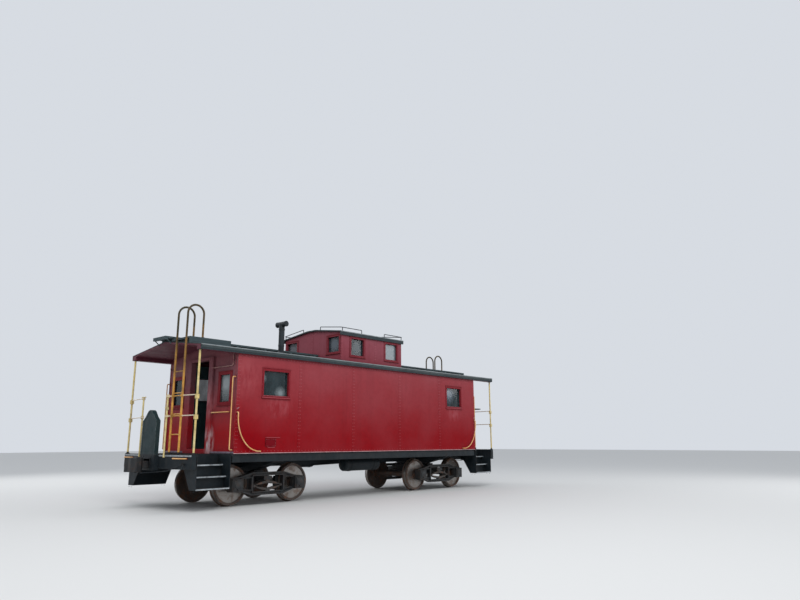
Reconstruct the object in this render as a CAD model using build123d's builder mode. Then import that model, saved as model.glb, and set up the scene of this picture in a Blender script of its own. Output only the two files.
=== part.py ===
from build123d import *

import os
from math import asin, cos, pi, sin, sqrt

os.makedirs("parts", exist_ok=True)

# Cupola caboose in millimetres. X runs along the car (end A at -X, end B at +X), Z is up, and
# z = 0 is the plane that the wheel flanges touch. Paired end pieces are drawn at end B, and the
# other end is the same piece turned half a turn about Z.
ends = (("a", 180), ("b", 0))  # end name, turn about Z in degrees

# Body shell
body_length = 8534.0
body_width = 2870.0
sheet_bottom_z = 1118.0
side_height = 2095.0
wall = 76.0
floor_thickness = 80.0
half_length = body_length / 2
half_width = body_width / 2
inner_half_length = half_length - wall
inner_half_width = half_width - wall
wall_top_z = sheet_bottom_z + side_height

# Wheels, axles and trucks
tread_radius = 419.0
flange_height = 25.0
back_to_back = 1352.0
wheel_width = 140.0
rim_thickness = 54.0
flange_width = 30.0
journal_radius = 64.0
journal_clearance = 0.3
journal_start = 870.0
journal_end = 1060.0
axle_radius = 74.0
wheel_base = 1676.0
truck_inset = 1217.0
side_frame_y = 910.0
side_frame_width = 110.0
side_frame_web = 40.0
side_frame_rim = 28.0
journal_box_length = 260.0
journal_box_height = 270.0
journal_box_width = 205.0
bolster_width = 220.0
bolster_seat_z = 690.0
centre_plate_depth = 11.0
centre_plate_radius = 150.0
seat_gap = 0.3
truck_centre = half_length - truck_inset
bolster_top_z = bolster_seat_z - centre_plate_depth
axle_z = tread_radius + flange_height
axle_x = wheel_base / 2

# End platforms
deck_drop = 8.0
deck_thickness = 40.0
platform_length = 953.0
deck_bow = 100.0
end_sill_thickness = 110.0
end_sill_depth = 250.0
platform_sill_y = 880.0
platform_sill_width = 60.0
platform_sill_depth = 110.0
buffer_width = 600.0
buffer_thickness = 94.0
buffer_drop = 115.0
well_start_x = half_length + 43
well_end_x = half_length + 823
well_y = 930.0
deck_z = sheet_bottom_z - deck_drop
deck_under_z = deck_z - deck_thickness
deck_corner_x = half_length + platform_length
deck_nose_x = deck_corner_x + deck_bow
bow_radius = (half_width**2 + deck_bow**2) / (2 * deck_bow)

# Main roof, a low gable with a flat strip along each eave
eave_overhang = 65.0
eave_depth = 110.0
roof_rise = 190.0
roof_thickness = 45.0
eave_strip = 95.0
roof_half_width = half_width + eave_overhang
roof_half_length = deck_corner_x - 15
eave_top_z = wall_top_z + eave_depth
ridge_z = eave_top_z + roof_rise
seat_y = half_width - eave_strip

# Cupola, whose roof has a flat ridge and a deep band along each eave
cupola_x = 100.0
cupola_length = 2280.0
cupola_width = 2300.0
cupola_wall = 60.0
cupola_height = 902.0
cupola_roof_rise = 125.0
cupola_roof_thickness = 25.0
cupola_ridge_flat = 170.0
cupola_eave_band = 100.0
cupola_eave_overhang = 44.0
cupola_end_overhang = 50.0
cupola_half_width = cupola_width / 2
cupola_eave_z = wall_top_z + cupola_height
cupola_eave_y = cupola_half_width + cupola_eave_overhang

# Windows: centre places and heights, then the opening's width and height
side_window = {"x": half_length - 1022, "z": wall_top_z - 586, "width": 700.0, "height": 560.0}
end_window = {"y": half_width - 450, "z": wall_top_z - 719, "width": 450.0, "height": 662.0}
cupola_side_window = {
    "x": (cupola_x - 565, cupola_x + 725),
    "z": cupola_eave_z - 347,
    "width": 515.0,
    "height": 484.0,
}
cupola_end_window = {
    "y": cupola_half_width - 300,
    "z": cupola_eave_z - 297,
    "width": 490.0,
    "height": 450.0,
}
side_trim = {"side": 33.0, "top": 54.0, "proud": 14.0, "sash": 11.0, "depth": 70.0, "glass": 56.0}
end_trim = {"side": 40.0, "top": 40.0, "proud": 14.0, "sash": 38.0, "depth": 50.0, "glass": 24.0}
cupola_trim = {"side": 26.0, "top": 26.0, "proud": 12.0, "sash": 28.0, "depth": 58.0, "glass": 50.0}
glass_thickness = 6.0

# Doorways and doors
doorway_width = 750.0
doorway_bottom_z = sheet_bottom_z + 88
doorway_top_z = wall_top_z - 60
door_trim_width = 160.0
door_trim_proud = 50.0
door_gap = 8.0
door_thickness = 44.0
door_light_width = 440.0
door_light_height = 760.0
door_light_z = doorway_top_z - 525
hinge_radius = 9.0
hinge_pin_radius = 4.5
hinge_pin_gap = 0.3
hinge_height = 90.0
hinge_leaf = 46.0
hinge_offset = 10.0
hinge_places = (0.114, 0.484, 0.854)  # shares of the doorway's height
knob_inset = 60.0
knob_drop = 500.0
knob_radius = 30.0
knob_neck_radius = 14.0
pin_x = inner_half_length - hinge_offset
pin_y = doorway_width / 2 + 1.0
hinge_heights = [doorway_bottom_z + share * (doorway_top_z - doorway_bottom_z) for share in hinge_places]

# Underframe
centre_sill_width = 362.0
centre_sill_depth = 330.0
centre_sill_plate = 16.0
side_sill_depth = 180.0
side_sill_inset = 35.0
side_sill_width = 90.0
side_sill_plate = 10.0
cross_bearer_x = (-1200.0, -400.0, 400.0, 1200.0)
cross_bearer_width = 90.0
cross_bearer_depth = 140.0
body_bolster_width = 260.0
end_bearer_depth = 130.0
side_sill_y = half_width - side_sill_inset

# Couplers
coupler_z = 901.0
shank_width = 130.0
shank_height = 145.0
shank_length = 580.0
shank_inset = 200.0
coupler_reach = 470.0
coupler_head_height = 290.0
coupler_pocket_width = 260.0
coupler_pocket_headroom = 45.0

# Railings, shields and ladders at the ends; the heights are above the deck
post_x = deck_corner_x - 50
post_y = half_width - 25
post_radius = 21.0
mid_post_y = 530.0
mid_post_radius = 18.0
mid_post_height = 1208.0
mid_post_foot = 60.0
rail_rises = (773.0, 1183.0)
rail_radius = 11.0
collar_size = 66.0
collar_height = 90.0
collar_drop = 36.0
shield_width = 590.0
shield_shoulder = 690.0
shield_neck = 380.0
shield_height = 912.0
shield_thickness = 88.0
shield_crown = 240.0
ladder_x = deck_corner_x + 30
ladder_y = (590.0, 970.0)
ladder_radius = 22.0
ladder_fitting = (50.0, 60.0, 50.0)
hoop_width = 375.0
hoop_rise = 690.0
rung_radius = 12.0
rung_rises = (398.0, 808.0, 1238.0, 1688.0)
foot_radius = 27.0
foot_height = 45.0
rail_heights = tuple(deck_z + rise for rise in rail_rises)
rung_heights = tuple(deck_z + rise for rise in rung_rises)

# Roof walks
walk_half_width = 270.0
walk_top_z = ridge_z + 85
walk_board = 40.0
walk_end_x = roof_half_length + 150
lateral_start_x = roof_half_length - 1005
lateral_end_x = roof_half_length - 5
lateral_y = (282.0, 1020.0)
lateral_top_z = ridge_z + 15

# Smoke jack
jack_x = 1787.0 - half_length
jack_y = -550.0
jack_radius = 70.0
jack_top_z = ridge_z + 675
jack_cap_radius = 65.0
jack_cap_length = 360.0
jack_flashing_radius = 150.0
jack_flashing_height = 100.0


def roof_top_z(y):
    return ridge_z - roof_rise * abs(y) / roof_half_width


def roof_under_z(y):
    return roof_top_z(y) - roof_thickness


def cupola_under_z(y):
    share = (abs(y) - cupola_ridge_flat) / (cupola_eave_y - cupola_ridge_flat)
    return cupola_eave_z + cupola_roof_rise * (1 - max(share, 0))


def cupola_top_z(y):
    return cupola_under_z(y) + cupola_roof_thickness


def bow_x(y):
    return deck_nose_x - bow_radius + sqrt(bow_radius**2 - y**2)


mid_post_x = bow_x(mid_post_y) + mid_post_radius + 2


def rail_x(y):
    return post_x + (post_y - abs(y)) / (post_y - mid_post_y) * (mid_post_x - post_x)


def wall_plane(x, y, z, out_x, out_y):
    return Plane(origin=(x, y, z), x_dir=(-out_y, out_x, 0), z_dir=(out_x, out_y, 0))


def block(low, high, mode=Mode.ADD):
    size = [b - a for a, b in zip(low, high)]
    middle = [(a + b) / 2 for a, b in zip(low, high)]
    with Locations(tuple(middle)):
        Box(*size, mode=mode)


def rod(points, radii, radius):
    with BuildLine() as path:
        route = FilletPolyline(*points, radius=radii)
    with BuildSketch(Plane(origin=route @ 0, z_dir=route % 0)) as section:
        Circle(radius)
    sweep(section.sketch, path=path.line)


def bar(start, end, radius):
    along = Vector(*end) - Vector(*start)
    with BuildSketch(Plane(origin=start, z_dir=along)) as section:
        Circle(radius)
    extrude(section.sketch, amount=along.length)


def window_frame(plane, opening, trim):
    width = opening["width"]
    height = opening["height"]
    sash = trim["sash"]
    with BuildSketch(plane) as face:
        Rectangle(width + 2 * trim["side"], height + 2 * trim["top"])
        Rectangle(width - 2 * sash, height - 2 * sash, mode=Mode.SUBTRACT)
    extrude(face.sketch, amount=trim["proud"])
    with BuildSketch(plane) as reveal:
        Rectangle(width, height)
        Rectangle(width - 2 * sash, height - 2 * sash, mode=Mode.SUBTRACT)
    extrude(reveal.sketch, amount=-trim["depth"])


def window_pane(plane, opening, trim):
    with BuildSketch(plane.offset(-trim["glass"])) as pane:
        Rectangle(opening["width"] - 2 * trim["sash"], opening["height"] - 2 * trim["sash"])
    extrude(pane.sketch, amount=-glass_thickness)


def window_hole(plane, opening, depth):
    with BuildSketch(plane.offset(1)) as hole:
        Rectangle(opening["width"], opening["height"])
    extrude(hole.sketch, amount=-depth - 2, mode=Mode.SUBTRACT)


def export_both_ends(shape, name):
    for end, turn in ends:
        piece = shape.rotate(Axis.Z, turn)
        piece.label = f"{name}_{end}"
        export_step(piece, f"parts/{name}_{end}.step")


side_window_planes = [
    wall_plane(along * side_window["x"], side * half_width, side_window["z"], 0, side)
    for along in (-1, 1)
    for side in (-1, 1)
]
end_window_planes = [
    wall_plane(along * half_length, side * end_window["y"], end_window["z"], along, 0)
    for along in (-1, 1)
    for side in (-1, 1)
]
cupola_side_planes = [
    wall_plane(x, side * cupola_half_width, cupola_side_window["z"], 0, side)
    for x in cupola_side_window["x"]
    for side in (-1, 1)
]
cupola_end_planes = [
    wall_plane(
        cupola_x + along * cupola_length / 2,
        side * cupola_end_window["y"],
        cupola_end_window["z"],
        along,
        0,
    )
    for along in (-1, 1)
    for side in (-1, 1)
]

# Underframe: centre sill, side sills, body bolsters and cross bearers in one weldment
sill_end_x = bow_x(centre_sill_width / 2) - end_sill_thickness - seat_gap
centre_sill_y = centre_sill_width / 2
centre_sill_bottom_z = sheet_bottom_z - centre_sill_depth
side_sill_bottom_z = sheet_bottom_z - side_sill_depth
flange_y = side_sill_y - side_sill_width
with BuildPart() as underframe:
    for reach, top_z in ((half_length, sheet_bottom_z), (sill_end_x, deck_under_z)):
        block((-reach, -centre_sill_y, centre_sill_bottom_z), (reach, centre_sill_y, top_z))
    for reach, top_z in ((half_length - centre_sill_plate, sheet_bottom_z), (sill_end_x, deck_under_z)):
        block(
            (-reach, -centre_sill_y + centre_sill_plate, centre_sill_bottom_z),
            (reach, centre_sill_y - centre_sill_plate, top_z - centre_sill_plate),
            Mode.SUBTRACT,
        )
    for side in (-1, 1):
        with BuildSketch(Plane.YZ.offset(-half_length)):
            with BuildLine():
                Polyline(
                    (side * side_sill_y, sheet_bottom_z),
                    (side * flange_y, sheet_bottom_z),
                    (side * flange_y, sheet_bottom_z - side_sill_plate),
                    (side * (side_sill_y - side_sill_plate), sheet_bottom_z - side_sill_plate),
                    (side * (side_sill_y - side_sill_plate), side_sill_bottom_z + side_sill_plate),
                    (side * flange_y, side_sill_bottom_z + side_sill_plate),
                    (side * flange_y, side_sill_bottom_z),
                    (side * side_sill_y, side_sill_bottom_z),
                    close=True,
                )
            make_face()
        extrude(amount=body_length)
    for x in (-truck_centre, truck_centre):
        with BuildSketch(Plane.YZ.offset(x - body_bolster_width / 2)):
            with BuildLine():
                Polyline(
                    (-side_sill_y + side_sill_plate, sheet_bottom_z),
                    (side_sill_y - side_sill_plate, sheet_bottom_z),
                    (side_sill_y - side_sill_plate, side_sill_bottom_z),
                    (2 * centre_sill_y, bolster_seat_z),
                    (-2 * centre_sill_y, bolster_seat_z),
                    (-side_sill_y + side_sill_plate, side_sill_bottom_z),
                    close=True,
                )
            make_face()
        extrude(amount=body_bolster_width)
    end_bearer_x = half_length - cross_bearer_width / 2
    bearers = [(x, cross_bearer_depth) for x in cross_bearer_x]
    bearers += [(-end_bearer_x, end_bearer_depth), (end_bearer_x, end_bearer_depth)]
    for x, depth in bearers:
        for low_y, high_y in ((centre_sill_y, side_sill_y - 5), (5 - side_sill_y, -centre_sill_y)):
            block(
                (x - cross_bearer_width / 2, low_y, sheet_bottom_z - depth),
                (x + cross_bearer_width / 2, high_y, sheet_bottom_z),
            )
underframe.part.label = "underframe"
export_step(underframe.part, "parts/underframe.step")

# Cabin floor
with BuildPart() as cabin_floor:
    block(
        (-inner_half_length, -inner_half_width, sheet_bottom_z),
        (inner_half_length, inner_half_width, sheet_bottom_z + floor_thickness),
    )
cabin_floor.part.label = "cabin_floor"
export_step(cabin_floor.part, "parts/cabin_floor.step")

# Side walls
for name, side in (("left_side_wall", 1), ("right_side_wall", -1)):
    with BuildPart() as side_wall:
        with Locations((0, side * (half_width - wall / 2), sheet_bottom_z + side_height / 2)):
            Box(body_length, wall, side_height)
        for plane in side_window_planes:
            if plane.origin.Y * side > 0:
                window_hole(plane, side_window, wall)
    side_wall.part.label = name
    export_step(side_wall.part, f"parts/{name}.step")

# End wall with its doorway, window openings, raised door trim and the fixed hinge halves
with BuildPart() as end_wall:
    with BuildSketch(Plane.YZ.offset(inner_half_length)):
        with BuildLine():
            Polyline(
                (-inner_half_width, sheet_bottom_z),
                (inner_half_width, sheet_bottom_z),
                (inner_half_width, wall_top_z),
                (seat_y, wall_top_z),
                (seat_y, roof_under_z(seat_y)),
                (0, roof_under_z(0)),
                (-seat_y, roof_under_z(seat_y)),
                (-seat_y, wall_top_z),
                (-inner_half_width, wall_top_z),
                close=True,
            )
        make_face()
    extrude(amount=wall)
    trim_y = doorway_width / 2 + door_trim_width
    block((half_length, -trim_y, deck_z), (half_length + door_trim_proud, trim_y, wall_top_z))
    block(
        (inner_half_length - 1, -doorway_width / 2, doorway_bottom_z),
        (half_length + door_trim_proud + 1, doorway_width / 2, doorway_top_z),
        Mode.SUBTRACT,
    )
    for plane in end_window_planes:
        if plane.origin.X > 0:
            window_hole(plane, end_window, wall)
    for z in hinge_heights:
        with BuildSketch(Plane.XY.offset(z)):
            with Locations((pin_x, pin_y)):
                Circle(hinge_radius)
            with Locations((pin_x + hinge_offset / 2, pin_y + hinge_leaf / 2)):
                Rectangle(hinge_offset, hinge_leaf)
        extrude(amount=hinge_height / 2)
        with BuildSketch(Plane.XY.offset(z)):
            with Locations((pin_x, pin_y)):
                Circle(hinge_pin_radius)
        extrude(amount=hinge_height)
export_both_ends(end_wall.part, "end_wall")

# Main roof, open under the cupola
with BuildPart() as main_roof:
    with BuildSketch(Plane.YZ.offset(-roof_half_length)):
        with BuildLine():
            Polyline(
                (-roof_half_width, wall_top_z),
                (-roof_half_width, eave_top_z),
                (0, ridge_z),
                (roof_half_width, eave_top_z),
                (roof_half_width, wall_top_z),
                (seat_y, wall_top_z),
                (seat_y, roof_under_z(seat_y)),
                (0, roof_under_z(0)),
                (-seat_y, roof_under_z(seat_y)),
                (-seat_y, wall_top_z),
                close=True,
            )
        make_face()
    extrude(amount=2 * roof_half_length)
    with BuildSketch(Plane.XY.offset(wall_top_z)):
        with Locations((cupola_x, 0)):
            Rectangle(cupola_length - 2 * cupola_wall, cupola_width - 2 * cupola_wall)
    extrude(amount=ridge_z - wall_top_z + 1, mode=Mode.SUBTRACT)
main_roof.part.label = "main_roof"
export_step(main_roof.part, "parts/main_roof.step")

# Cupola walls: a ring that sits on the roof's slopes and is cut to the cupola roof's underside
with BuildPart() as cupola_walls:
    with BuildSketch(Plane.XY.offset(eave_top_z)):
        with Locations((cupola_x, 0)):
            Rectangle(cupola_length, cupola_width)
            Rectangle(cupola_length - 2 * cupola_wall, cupola_width - 2 * cupola_wall, mode=Mode.SUBTRACT)
    extrude(amount=cupola_eave_z + cupola_roof_rise - eave_top_z)
    with BuildSketch(Plane.YZ.offset(cupola_x - cupola_length)):
        with BuildLine():
            Polyline(
                (-roof_half_width, wall_top_z),
                (-roof_half_width, eave_top_z),
                (0, ridge_z),
                (roof_half_width, eave_top_z),
                (roof_half_width, wall_top_z),
                close=True,
            )
        make_face()
        with BuildLine():
            Polyline(
                (-cupola_eave_y, cupola_eave_z),
                (-cupola_ridge_flat, cupola_eave_z + cupola_roof_rise),
                (cupola_ridge_flat, cupola_eave_z + cupola_roof_rise),
                (cupola_eave_y, cupola_eave_z),
                (cupola_eave_y, cupola_eave_z + 2 * cupola_roof_rise),
                (-cupola_eave_y, cupola_eave_z + 2 * cupola_roof_rise),
                close=True,
            )
        make_face()
    extrude(amount=2 * cupola_length, mode=Mode.SUBTRACT)
    for plane in cupola_side_planes:
        window_hole(plane, cupola_side_window, cupola_wall)
    for plane in cupola_end_planes:
        window_hole(plane, cupola_end_window, cupola_wall)
cupola_walls.part.label = "cupola_walls"
export_step(cupola_walls.part, "parts/cupola_walls.step")

# Cupola roof
cupola_roof_length = cupola_length + 2 * cupola_end_overhang
cupola_band_y = cupola_half_width + seat_gap
cupola_band_z = cupola_top_z(cupola_eave_y) - cupola_eave_band
with BuildPart() as cupola_roof:
    with BuildSketch(Plane.YZ.offset(cupola_x - cupola_roof_length / 2)):
        with BuildLine():
            half = [
                (cupola_ridge_flat, cupola_under_z(0)),
                (cupola_band_y, cupola_under_z(cupola_band_y)),
                (cupola_band_y, cupola_band_z),
                (cupola_eave_y, cupola_band_z),
                (cupola_eave_y, cupola_top_z(cupola_eave_y)),
                (cupola_ridge_flat, cupola_top_z(0)),
            ]
            Polyline(*half, *[(-y, z) for y, z in reversed(half)], close=True)
        make_face()
    extrude(amount=cupola_roof_length)
cupola_roof.part.label = "cupola_roof"
export_step(cupola_roof.part, "parts/cupola_roof.step")

# Window frames and glass
with BuildPart() as cabin_window_frames:
    for plane in side_window_planes:
        window_frame(plane, side_window, side_trim)
    for plane in end_window_planes:
        window_frame(plane, end_window, end_trim)
cabin_window_frames.part.label = "cabin_window_frames"
export_step(cabin_window_frames.part, "parts/cabin_window_frames.step")

with BuildPart() as cupola_window_frames:
    for plane in cupola_side_planes:
        window_frame(plane, cupola_side_window, cupola_trim)
    for plane in cupola_end_planes:
        window_frame(plane, cupola_end_window, cupola_trim)
cupola_window_frames.part.label = "cupola_window_frames"
export_step(cupola_window_frames.part, "parts/cupola_window_frames.step")

with BuildPart() as window_glass:
    for plane in side_window_planes:
        window_pane(plane, side_window, side_trim)
    for plane in end_window_planes:
        window_pane(plane, end_window, end_trim)
    for plane in cupola_side_planes:
        window_pane(plane, cupola_side_window, cupola_trim)
    for plane in cupola_end_planes:
        window_pane(plane, cupola_end_window, cupola_trim)
window_glass.part.label = "window_glass"
export_step(window_glass.part, "parts/window_glass.step")

# Door leaf in its closed place at end B, hung on the pins of the end wall
leaf_half_width = doorway_width / 2 - door_gap
leaf_bottom_z = doorway_bottom_z + door_gap
leaf_top_z = doorway_top_z - door_gap
light_plane = wall_plane(inner_half_length + door_thickness, 0, door_light_z, 1, 0)
door_light = {"width": door_light_width, "height": door_light_height}
with BuildPart() as door:
    block(
        (inner_half_length, -leaf_half_width, leaf_bottom_z),
        (inner_half_length + door_thickness, leaf_half_width, leaf_top_z),
    )
    window_hole(light_plane, door_light, door_thickness)
    for z in hinge_heights:
        knuckle_z = z + hinge_height / 2 + hinge_pin_gap
        with BuildSketch(Plane.XY.offset(knuckle_z)):
            with Locations((pin_x, pin_y)):
                Circle(hinge_radius)
            with Locations((pin_x + hinge_offset / 2, pin_y - hinge_leaf / 2)):
                Rectangle(hinge_offset, hinge_leaf)
            with Locations((pin_x, pin_y)):
                Circle(hinge_pin_radius + hinge_pin_gap, mode=Mode.SUBTRACT)
        extrude(amount=z + hinge_height - knuckle_z)
    knob = (inner_half_length + door_thickness, knob_inset - leaf_half_width, door_light_z - knob_drop)
    with Locations((knob[0] + 0.8 * knob_radius, knob[1], knob[2])):
        Sphere(knob_radius)
    with Locations((knob[0] + 0.3 * knob_radius, knob[1], knob[2])):
        Cylinder(knob_neck_radius, knob_radius, rotation=(0, 90, 0))

with BuildPart() as door_glass:
    with BuildSketch(light_plane.offset(-door_thickness / 2 - glass_thickness / 2)):
        Rectangle(door_light_width, door_light_height)
    extrude(amount=glass_thickness)

# At rest the door of end A stands open into the cabin and the door of end B is shut
hinge_axis = Axis((pin_x, pin_y, 0), (0, 0, 1))
door_rest_turns = {"a": -90, "b": 0}
for end, turn in ends:
    for shape, name in ((door.part, "door"), (door_glass.part, "door_glass")):
        piece = shape.rotate(hinge_axis, door_rest_turns[end]).rotate(Axis.Z, turn)
        piece.label = f"{name}_{end}"
        export_step(piece, f"parts/{name}_{end}.step")

# End platform: deck, bowed end sill, platform sills and the buffer block with the coupler pocket
sill_bottom_z = deck_under_z - end_sill_depth
well_width = half_width - well_y + 10
pocket_bottom_z = coupler_z - shank_height / 2
pocket_top_z = coupler_z + shank_height / 2 + coupler_pocket_headroom
with BuildPart() as platform:
    with BuildSketch(Plane.XY.offset(deck_under_z)):
        with BuildLine():
            ThreePointArc((deck_corner_x, -half_width), (deck_nose_x, 0), (deck_corner_x, half_width))
            Polyline(
                (deck_corner_x, half_width),
                (half_length, half_width),
                (half_length, -half_width),
                (deck_corner_x, -half_width),
            )
        make_face()
        with Locations(
            ((well_start_x + well_end_x) / 2, well_y + well_width / 2),
            ((well_start_x + well_end_x) / 2, -well_y - well_width / 2),
        ):
            Rectangle(well_end_x - well_start_x, well_width, mode=Mode.SUBTRACT)
    extrude(amount=deck_thickness)
    with BuildSketch(Plane.XY.offset(sill_bottom_z)):
        with BuildLine():
            ThreePointArc((deck_corner_x, -half_width), (deck_nose_x, 0), (deck_corner_x, half_width))
            Line((deck_corner_x, half_width), (deck_corner_x - end_sill_thickness, half_width))
            ThreePointArc(
                (deck_corner_x - end_sill_thickness, half_width),
                (deck_nose_x - end_sill_thickness, 0),
                (deck_corner_x - end_sill_thickness, -half_width),
            )
            Line((deck_corner_x - end_sill_thickness, -half_width), (deck_corner_x, -half_width))
        make_face()
    extrude(amount=end_sill_depth)
    for side in (-1, 1):
        with Locations(
            (
                (half_length + bow_x(platform_sill_y) - end_sill_thickness / 2) / 2,
                side * platform_sill_y,
                deck_under_z - platform_sill_depth / 2,
            )
        ):
            Box(
                bow_x(platform_sill_y) - end_sill_thickness / 2 - half_length,
                platform_sill_width,
                platform_sill_depth,
            )
    block(
        (deck_nose_x - end_sill_thickness / 2, -buffer_width / 2, coupler_z - buffer_drop),
        (deck_nose_x + buffer_thickness, buffer_width / 2, deck_z),
    )
    block(
        (deck_nose_x - end_sill_thickness - 20, -coupler_pocket_width / 2, pocket_bottom_z),
        (deck_nose_x + buffer_thickness + 20, coupler_pocket_width / 2, pocket_top_z),
        Mode.SUBTRACT,
    )
export_both_ends(platform.part, "platform")

# Railing: corner posts up to the roof, short posts on the end sill's face, and two rails a side
post_collar = (collar_size, 1.2 * post_radius + collar_size / 2, collar_height)
mid_collar = (50.0, 50.0, 60.0)
handle_half = 85.0
mid_post_top_z = deck_z + mid_post_height
with BuildPart() as end_railing:
    for side in (-1, 1):
        foot = (mid_post_x, side * mid_post_y, deck_z - mid_post_foot)
        bar((post_x, side * post_y, deck_z), (post_x, side * post_y, wall_top_z), post_radius)
        bar(foot, (mid_post_x, side * mid_post_y, mid_post_top_z), mid_post_radius)
        block(
            (bow_x(mid_post_y - mid_post_radius) + seat_gap, foot[1] - mid_post_radius, foot[2]),
            (mid_post_x, foot[1] + mid_post_radius, foot[2] + mid_post_foot / 2),
        )
        for z in rail_heights:
            with Locations((post_x, side * post_y, z - collar_drop)):
                Box(*post_collar)
            with Locations((mid_post_x, side * mid_post_y, z)):
                Box(*mid_collar)
    for z in rail_heights:
        bar((post_x, -post_y, z), (mid_post_x, -mid_post_y, z), rail_radius)
        bar((post_x, post_y, z), (ladder_x, ladder_y[1], z), rail_radius)
        bar((mid_post_x, mid_post_y, z), (ladder_x, ladder_y[0], z), rail_radius)
        for y in ladder_y:
            with Locations((ladder_x, y, z)):
                Box(*[size + 2 * seat_gap for size in ladder_fitting], mode=Mode.SUBTRACT)
    bar(
        (mid_post_x, -mid_post_y - handle_half, mid_post_top_z),
        (mid_post_x, -mid_post_y + handle_half, mid_post_top_z),
        rail_radius,
    )
export_both_ends(end_railing.part, "end_railing")

# Shield plate on the buffer block, with sloping shoulders and a rounded crown
shield_shoulder_z = deck_z + shield_shoulder
shield_crown_z = deck_z + 0.93 * shield_height
shield_neck_z = (shield_shoulder_z + shield_crown_z) / 2
with BuildPart() as end_shield:
    with BuildSketch(Plane.YZ.offset(deck_nose_x + buffer_thickness - shield_thickness)):
        with BuildLine():
            Polyline(
                (-shield_crown / 2, shield_crown_z),
                (-shield_neck / 2, shield_neck_z),
                (-shield_width / 2, shield_shoulder_z),
                (-shield_width / 2, deck_z),
                (shield_width / 2, deck_z),
                (shield_width / 2, shield_shoulder_z),
                (shield_neck / 2, shield_neck_z),
                (shield_crown / 2, shield_crown_z),
            )
            ThreePointArc(
                (shield_crown / 2, shield_crown_z),
                (0, deck_z + shield_height),
                (-shield_crown / 2, shield_crown_z),
            )
        make_face()
    extrude(amount=shield_thickness)
with BuildPart() as end_shields:
    for end, turn in ends:
        add(end_shield.part.rotate(Axis.Z, turn))
end_shields.part.label = "end_shields"
export_step(end_shields.part, "parts/end_shields.step")

# Ladder whose stiles arch over the roof's end and land on the lateral roof walk
hoop_radius = hoop_width / 2
hoop_top_z = lateral_top_z + hoop_rise
with BuildPart() as ladder:
    for y in ladder_y:
        with BuildLine():
            Line((ladder_x, y, deck_z), (ladder_x, y, hoop_top_z - hoop_radius))
            ThreePointArc(
                (ladder_x, y, hoop_top_z - hoop_radius),
                (ladder_x - hoop_radius, y, hoop_top_z),
                (ladder_x - hoop_width, y, hoop_top_z - hoop_radius),
            )
            Line(
                (ladder_x - hoop_width, y, hoop_top_z - hoop_radius),
                (ladder_x - hoop_width, y, lateral_top_z),
            )
        with BuildSketch(Plane.XY.offset(deck_z)):
            with Locations((ladder_x, y)):
                Circle(ladder_radius)
        sweep()
        with BuildSketch(Plane.XY.offset(deck_z)):
            with Locations((ladder_x, y)):
                Circle(foot_radius)
        extrude(amount=foot_height)
        for z in rail_heights:
            with Locations((ladder_x, y, z)):
                Box(*ladder_fitting)
    for z in rung_heights + rail_heights:
        bar((ladder_x, ladder_y[0], z), (ladder_x, ladder_y[1], z), rung_radius)
export_both_ends(ladder.part, "ladder")

# Corner steps: two stringers, three treads and their closed risers under each side of the platform
stringer = 12.0
tread_thickness = 26.0
riser_thickness = 8.0
tread_count = 3
first_tread_drop = 208.0
tread_rise = 230.0
tread_inner_step = 130.0
tread_outer_step = 137.0
tread_inner_y = [well_y + 5 + i * tread_inner_step for i in range(tread_count)]
tread_outer_y = [half_width - 10 - (tread_count - 1 - i) * tread_outer_step for i in range(tread_count)]
tread_top_z = [deck_z - first_tread_drop - i * tread_rise for i in range(tread_count)]
riser_top_z = [deck_z] + [z - tread_thickness / 2 for z in tread_top_z]
with BuildPart() as steps:
    for x in (well_start_x, well_end_x - stringer):
        with BuildSketch(Plane.YZ.offset(x)):
            with BuildLine():
                Polyline(
                    (well_y, deck_z),
                    (half_width - 10, deck_z),
                    (half_width - 10, tread_top_z[-1] - tread_thickness),
                    (tread_inner_y[-1], tread_top_z[-1] - tread_thickness),
                    (well_y, tread_top_z[0] - 3 * tread_thickness),
                    close=True,
                )
            make_face()
        extrude(amount=stringer)
    for inner_y, outer_y, top_z, riser_z in zip(tread_inner_y, tread_outer_y, tread_top_z, riser_top_z):
        block((well_start_x + 6, inner_y, top_z - tread_thickness), (well_end_x - 6, outer_y, top_z))
        block((well_start_x + 6, inner_y, top_z - 1), (well_end_x - 6, inner_y + riser_thickness, riser_z))
    mirror(about=Plane.XZ)
export_both_ends(steps.part, "steps")

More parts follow.
